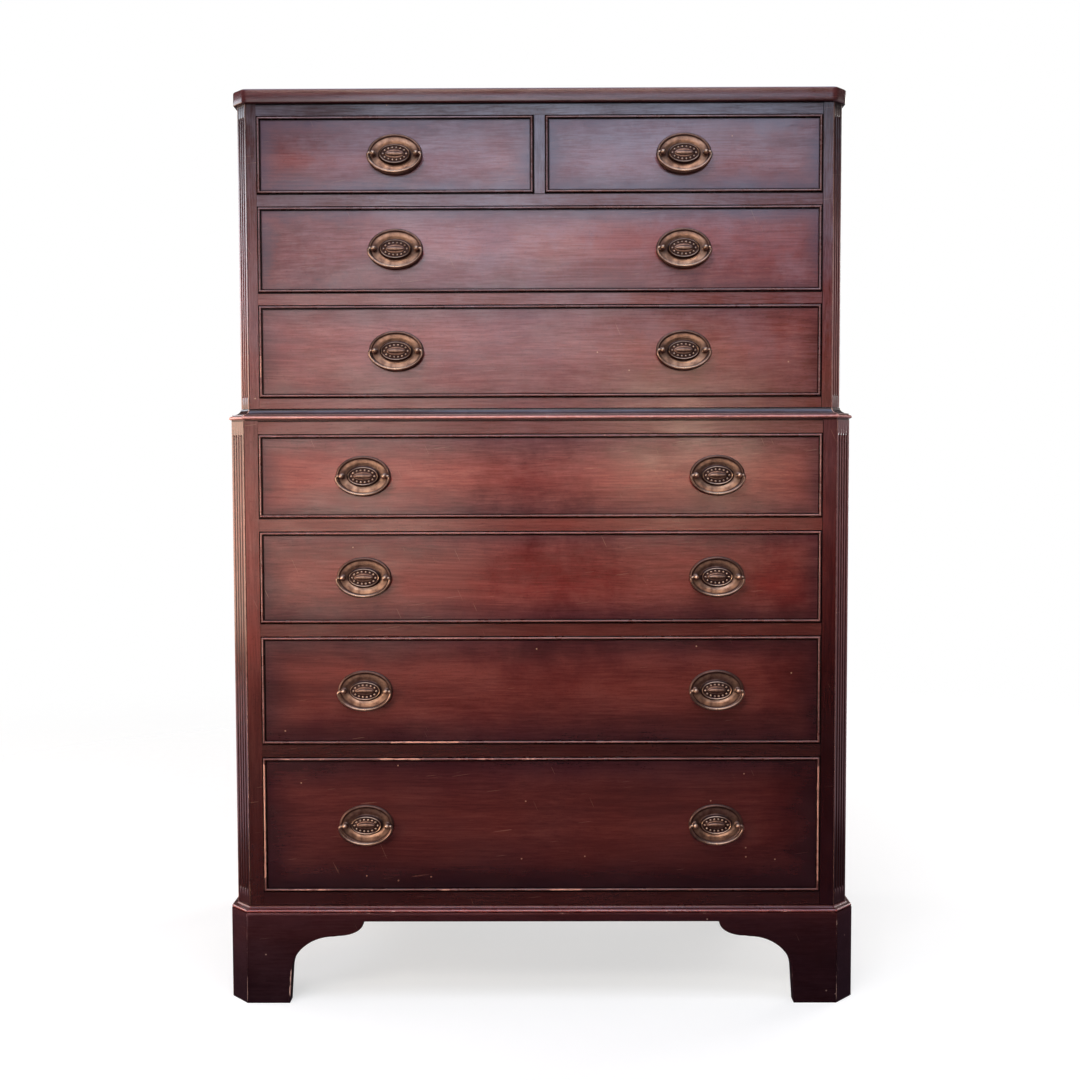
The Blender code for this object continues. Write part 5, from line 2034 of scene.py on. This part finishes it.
@dataclass(frozen=True)
class SoftLight:
    """Soft rectangular light with the radiance of its face and the spread of its beam in degrees."""

    name: str
    place: Place
    target: Place
    size: Point
    radiance: float
    colour: Colour
    shows: Shows = Shows.BOTH
    spread: float = 180.0

    def build(self) -> None:
        """Put the light into the scene, out of sight of the camera."""
        light = bpy.data.lights.new(self.name, "AREA")
        light.shape = "RECTANGLE"
        light.size, light.size_y = self.size
        light.energy = self.radiance * math.pi * self.size[0] * self.size[1]
        light.color = self.colour
        light.spread = math.radians(self.spread)
        item = bpy.data.objects.new(self.name, light)
        item.location = self.place
        item.rotation_euler = (Vector(self.target) - Vector(self.place)).to_track_quat("-Z", "Y").to_euler()
        item.visible_camera = False
        item.visible_diffuse, item.visible_glossy = self.shows.value
        bpy.context.scene.collection.objects.link(item)


# Lights of the studio: panels that light the chest, and screens that show in its polish
BLUE, SKY, PALE, COOL = (0.58, 0.76, 1.0), (0.50, 0.68, 1.0), (0.95, 0.96, 1.0), (0.86, 0.90, 1.0)
PLAIN, WARM, AMBER, TAN = (1.0, 0.97, 0.94), (1.0, 0.82, 0.68), (1.0, 0.73, 0.54), (1.0, 0.74, 0.56)
ROSE, PINK, PLUM = (1.0, 0.74, 0.72), (1.0, 0.72, 0.86), (1.0, 0.6, 0.68)
LIGHTS = (
    SoftLight("key_panel", (-0.9, -3.0, 3.1), (0.0, 0.0, 0.9), (1.4, 1.0), 12.0, PLAIN, Shows.COLOUR),
    SoftLight("overhead_panel", (0.0, -1.3, 3.2), (0.0, -0.9, 0.0), (2.8, 1.4), 4.6, COOL, Shows.COLOUR),
    SoftLight("ceiling_screen", (0.0, -1.0, 3.4), (0.0, -1.0, 0.0), (3.4, 3.4), 3.0, SKY, Shows.SHEEN),
    SoftLight("sky_screen", (0.20, -3.6, 2.13), (0.0, 0.0, 1.2), (2.1, 0.44), 5.0, BLUE, Shows.SHEEN),
    SoftLight("low_sky_screen", (-0.42, -3.6, 1.55), (0.0, 0.0, 1.0), (1.55, 0.70), 3.2, PALE, Shows.SHEEN),
    SoftLight("left_panel", (-1.7, -1.7, 0.55), (-0.25, -0.25, 0.45), (1.0, 0.7), 1.25, WARM, spread=50.0),
    SoftLight("left_screen", (-0.80, -3.6, 0.74), (0.0, 0.0, 0.70), (0.8, 0.92), 3.6, WARM, Shows.SHEEN),
    SoftLight("right_screen", (0.58, -3.6, 0.95), (0.0, 0.0, 0.85), (0.58, 0.5), 7.2, AMBER, Shows.SHEEN),
    SoftLight("left_side_panel", (-3.0, 0.4, 1.62), (0.0, 0.0, 0.9), (2.0, 0.66), 7.2, COOL),
    SoftLight("left_side_screen", (-3.0, 0.4, 0.77), (0.0, 0.0, 0.75), (2.0, 1.08), 4.7, TAN),
    SoftLight("left_low_screen", (-1.25, -0.05, 0.195), (-0.45, -0.2, 0.2), (1.2, 0.33), 1.2, PINK,
              Shows.SHEEN),
    SoftLight("right_side_panel", (3.0, 2.2, 1.4), (0.2, 0.0, 0.8), (2.0, 2.0), 7.5, PLAIN),
    SoftLight("right_side_screen", (3.0, 0.35, 1.38), (0.4, 0.0, 1.1), (1.2, 0.66), 2.0, ROSE, Shows.SHEEN),
    SoftLight("right_low_screen", (1.25, -0.05, 0.50), (0.45, -0.2, 0.5), (1.2, 0.9), 0.8, PLUM, Shows.SHEEN),
    SoftLight("brass_screen", (0.0, -3.6, 3.35), (0.0, 0.0, 0.8), (2.4, 0.5), 8.0, WARM, Shows.SHEEN),
    SoftLight("back_panel", (0.0, 3.8, 1.6), (0.0, 0.2, 0.8), (3.0, 2.0), 1.6, PLAIN),
)


@dataclass
class Studio:
    """Pale floor, soft light and the camera."""

    camera_place: Place = (0.0094, -2.1452, 0.7956)
    camera_yaw: float = 0.298
    camera_tilt: float = -2.807
    camera_roll: float = -0.164
    focal_pixels: float = 1269.1
    frame_pixels: float = 1080.0
    sensor: float = 36.0
    floor_half: float = 7.0
    floor_fade: Fade = Fade(1.0, 3.0)
    floor_speckle: Noise = Noise(40.0, 3.0)
    floor_tones: tuple[tuple[float, Colour], ...] = ((0.3, (0.44, 0.44, 0.44)), (0.7, (0.46, 0.46, 0.46)))
    floor_roughness: float = 0.9
    floor_glow: float = 0.60
    floor_dim: Colour = (0.10, 0.065, 0.092)
    white: Colour = (1.0, 1.0, 1.0)
    ambient: float = 0.06
    ambient_colour: Colour = (0.95, 0.97, 1.0)

    def add_floor(self) -> None:
        """Pale floor that fades into the white background; in reflections it is dim, as matt floors are."""
        shape = Shape()
        half = self.floor_half
        corners = [(-half, -half, 0.0), (half, -half, 0.0), (half, half, 0.0), (-half, half, 0.0)]
        shape.faces.append(tuple(shape.ring(corners)))
        nodes = Nodes("studio_floor")
        place = nodes.place()
        length = nodes.add("VectorMath", {"operation": "LENGTH"}, Vector=place).outputs["Value"]
        colour = nodes.ramp(nodes.noise(place, self.floor_speckle), self.floor_tones)
        material = nodes.finish(Base_Color=colour, Roughness=self.floor_roughness,
                                Emission_Color=(*self.white, 1.0), Emission_Strength=self.floor_glow)
        dim = nodes.add("BsdfDiffuse", Color=(*self.floor_dim, 1.0))
        mixed = nodes.blend(nodes.add("LightPath").outputs["Is Camera Ray"], dim, nodes.shader)
        mixed = nodes.blend(nodes.fade(length, self.floor_fade), mixed, nodes.add("BsdfTransparent"))
        nodes.tree.links.new(mixed.outputs[0], nodes.tree.nodes["Material Output"].inputs["Surface"])
        shape.to_object("studio_floor", material)

    def add_world(self) -> None:
        """White background with dim light of its own."""
        world = bpy.data.worlds.new("studio")
        world.use_nodes = True
        tree = world.node_tree
        seen = tree.nodes["Background"]
        seen.inputs["Color"].default_value = (*self.white, 1.0)
        glow = tree.nodes.new("ShaderNodeBackground")
        glow.inputs["Color"].default_value = (*self.ambient_colour, 1.0)
        glow.inputs["Strength"].default_value = self.ambient
        path = tree.nodes.new("ShaderNodeLightPath")
        mixed = tree.nodes.new("ShaderNodeMixShader")
        tree.links.new(path.outputs["Is Camera Ray"], mixed.inputs[0])
        tree.links.new(glow.outputs[0], mixed.inputs[1])
        tree.links.new(seen.outputs[0], mixed.inputs[2])
        tree.links.new(mixed.outputs[0], tree.nodes["World Output"].inputs["Surface"])
        bpy.context.scene.world = world
        bpy.context.scene.view_settings.view_transform = "Standard"

    def add_camera(self) -> None:
        """Camera at the photograph's viewing angle."""
        camera = bpy.data.cameras.new("camera")
        camera.sensor_width = self.sensor
        camera.lens = self.focal_pixels / self.frame_pixels * self.sensor
        item = bpy.data.objects.new("camera", camera)
        turn = Matrix.Rotation(math.radians(self.camera_yaw), 4, "Z")
        turn @= Matrix.Rotation(math.radians(90 + self.camera_tilt), 4, "X")
        turn @= Matrix.Rotation(math.radians(self.camera_roll), 4, "Z")
        item.matrix_world = Matrix.Translation(self.camera_place) @ turn
        bpy.context.scene.collection.objects.link(item)
        bpy.context.scene.camera = item

    def build(self) -> None:
        """Set up floor, background, lights and camera."""
        self.add_floor()
        self.add_world()
        for light in LIGHTS:
            light.build()
        self.add_camera()


# Drawers from the top down, with their patches and worn lengths; the dark patches in the middle and at the
# right end of the lower drawers are painted shade
PAIR = ("_left", "_right")
LOW_TONING = (0.30, 0.30, 0.56)
# Deep red tint of the painted shade on drawer 5
RED_PATCH_TINT = (0.80, 0.34, 0.34)
DRAWERS = (
    Drawer("drawer_1_left", ("",), 31.0, thin_sky_patches=(Patch(-0.375, 1.272, 0.045, 0.030),)),
    Drawer("drawer_1_right", ("",), 37.0),
    Drawer("drawer_2", PAIR, 41.0, dark_patches=(Patch(-0.36, 1.135, 0.13, 0.080),),
           thin_sky_patches=(Patch(0.115, 1.140, 0.050, 0.050), Patch(0.30, 1.135, 0.190, 0.075))),
    Drawer("drawer_3", PAIR, 43.0, worn_left=(WornRun(0.20, 0.46, 0.55),)),
    Drawer("drawer_4", PAIR, 47.0, HIGHLIT_PLATE, LOW_TONING, 0.050,
           dark_patches=(Patch(0.0, 0.785, 0.10, 0.055),)),
    Drawer("drawer_5", PAIR, 53.0, HIGHLIT_PLATE, LOW_TONING, 0.055, specks=0.05, patch_tint=RED_PATCH_TINT,
           dark_patches=(Patch(0.02, 0.655, 0.12, 0.060), Patch(0.36, 0.64, 0.06, 0.070))),
    Drawer("drawer_6", PAIR, 59.0, HIGHLIT_PLATE, LOW_TONING, 0.065, specks=0.06,
           dark_patches=(Patch(0.02, 0.510, 0.13, 0.055), Patch(0.38, 0.490, 0.07, 0.090)),
           worn_foot=(WornRun(0.22, 0.36, 0.66), WornRun(0.60, 0.66, 0.42)),
           worn_head=(WornRun(0.30, 0.37, 0.5),)),
    Drawer("drawer_7", PAIR, 61.0, HIGHLIT_PLATE, LOW_TONING, 0.075, specks=0.16,
           dark_patches=(Patch(0.38, 0.290, 0.07, 0.110),),
           worn_left=(WornRun(0.09, 0.97, 0.72),), worn_right=(WornRun(0.06, 0.95, 0.66),),
           worn_head=(WornRun(0.02, 0.15, 0.48), WornRun(0.20, 0.29, 0.64), WornRun(0.34, 0.52, 0.46)),
           worn_foot=(WornRun(0.03, 0.13, 0.50), WornRun(0.31, 0.35, 0.55), WornRun(0.51, 0.58, 0.60))),
)
UPPER_ROWS = (("drawer_3",), ("drawer_2",), ("drawer_1_left", "drawer_1_right"))
LOWER_ROWS = (("drawer_7",), ("drawer_6",), ("drawer_5",), ("drawer_4",))


def main() -> None:
    """Build the chest from its sub-assemblies, then the studio."""
    logging.basicConfig(level=logging.INFO, format="%(message)s")
    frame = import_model()
    workshop = Workshop(frame)
    upper = Stage("upper", UPPER_ROWS, 3, CASE_UPRIGHT, flute_shade=0.45, plain_end_darkening=0.50)
    lower = Stage("lower", LOWER_ROWS, 4, SHADED_UPRIGHT)
    Mouldings(upper.plan, lower.plan).dress(workshop)
    upper.dress(workshop)
    lower.dress(workshop)
    workshop.dress("upper_partition", BOX_WOOD, Slot.INNER)
    BracketBase(lower.plan).dress(workshop)
    for drawer in DRAWERS:
        drawer.dress(workshop)
    Studio().build()


if __name__ == "__main__":
    main()
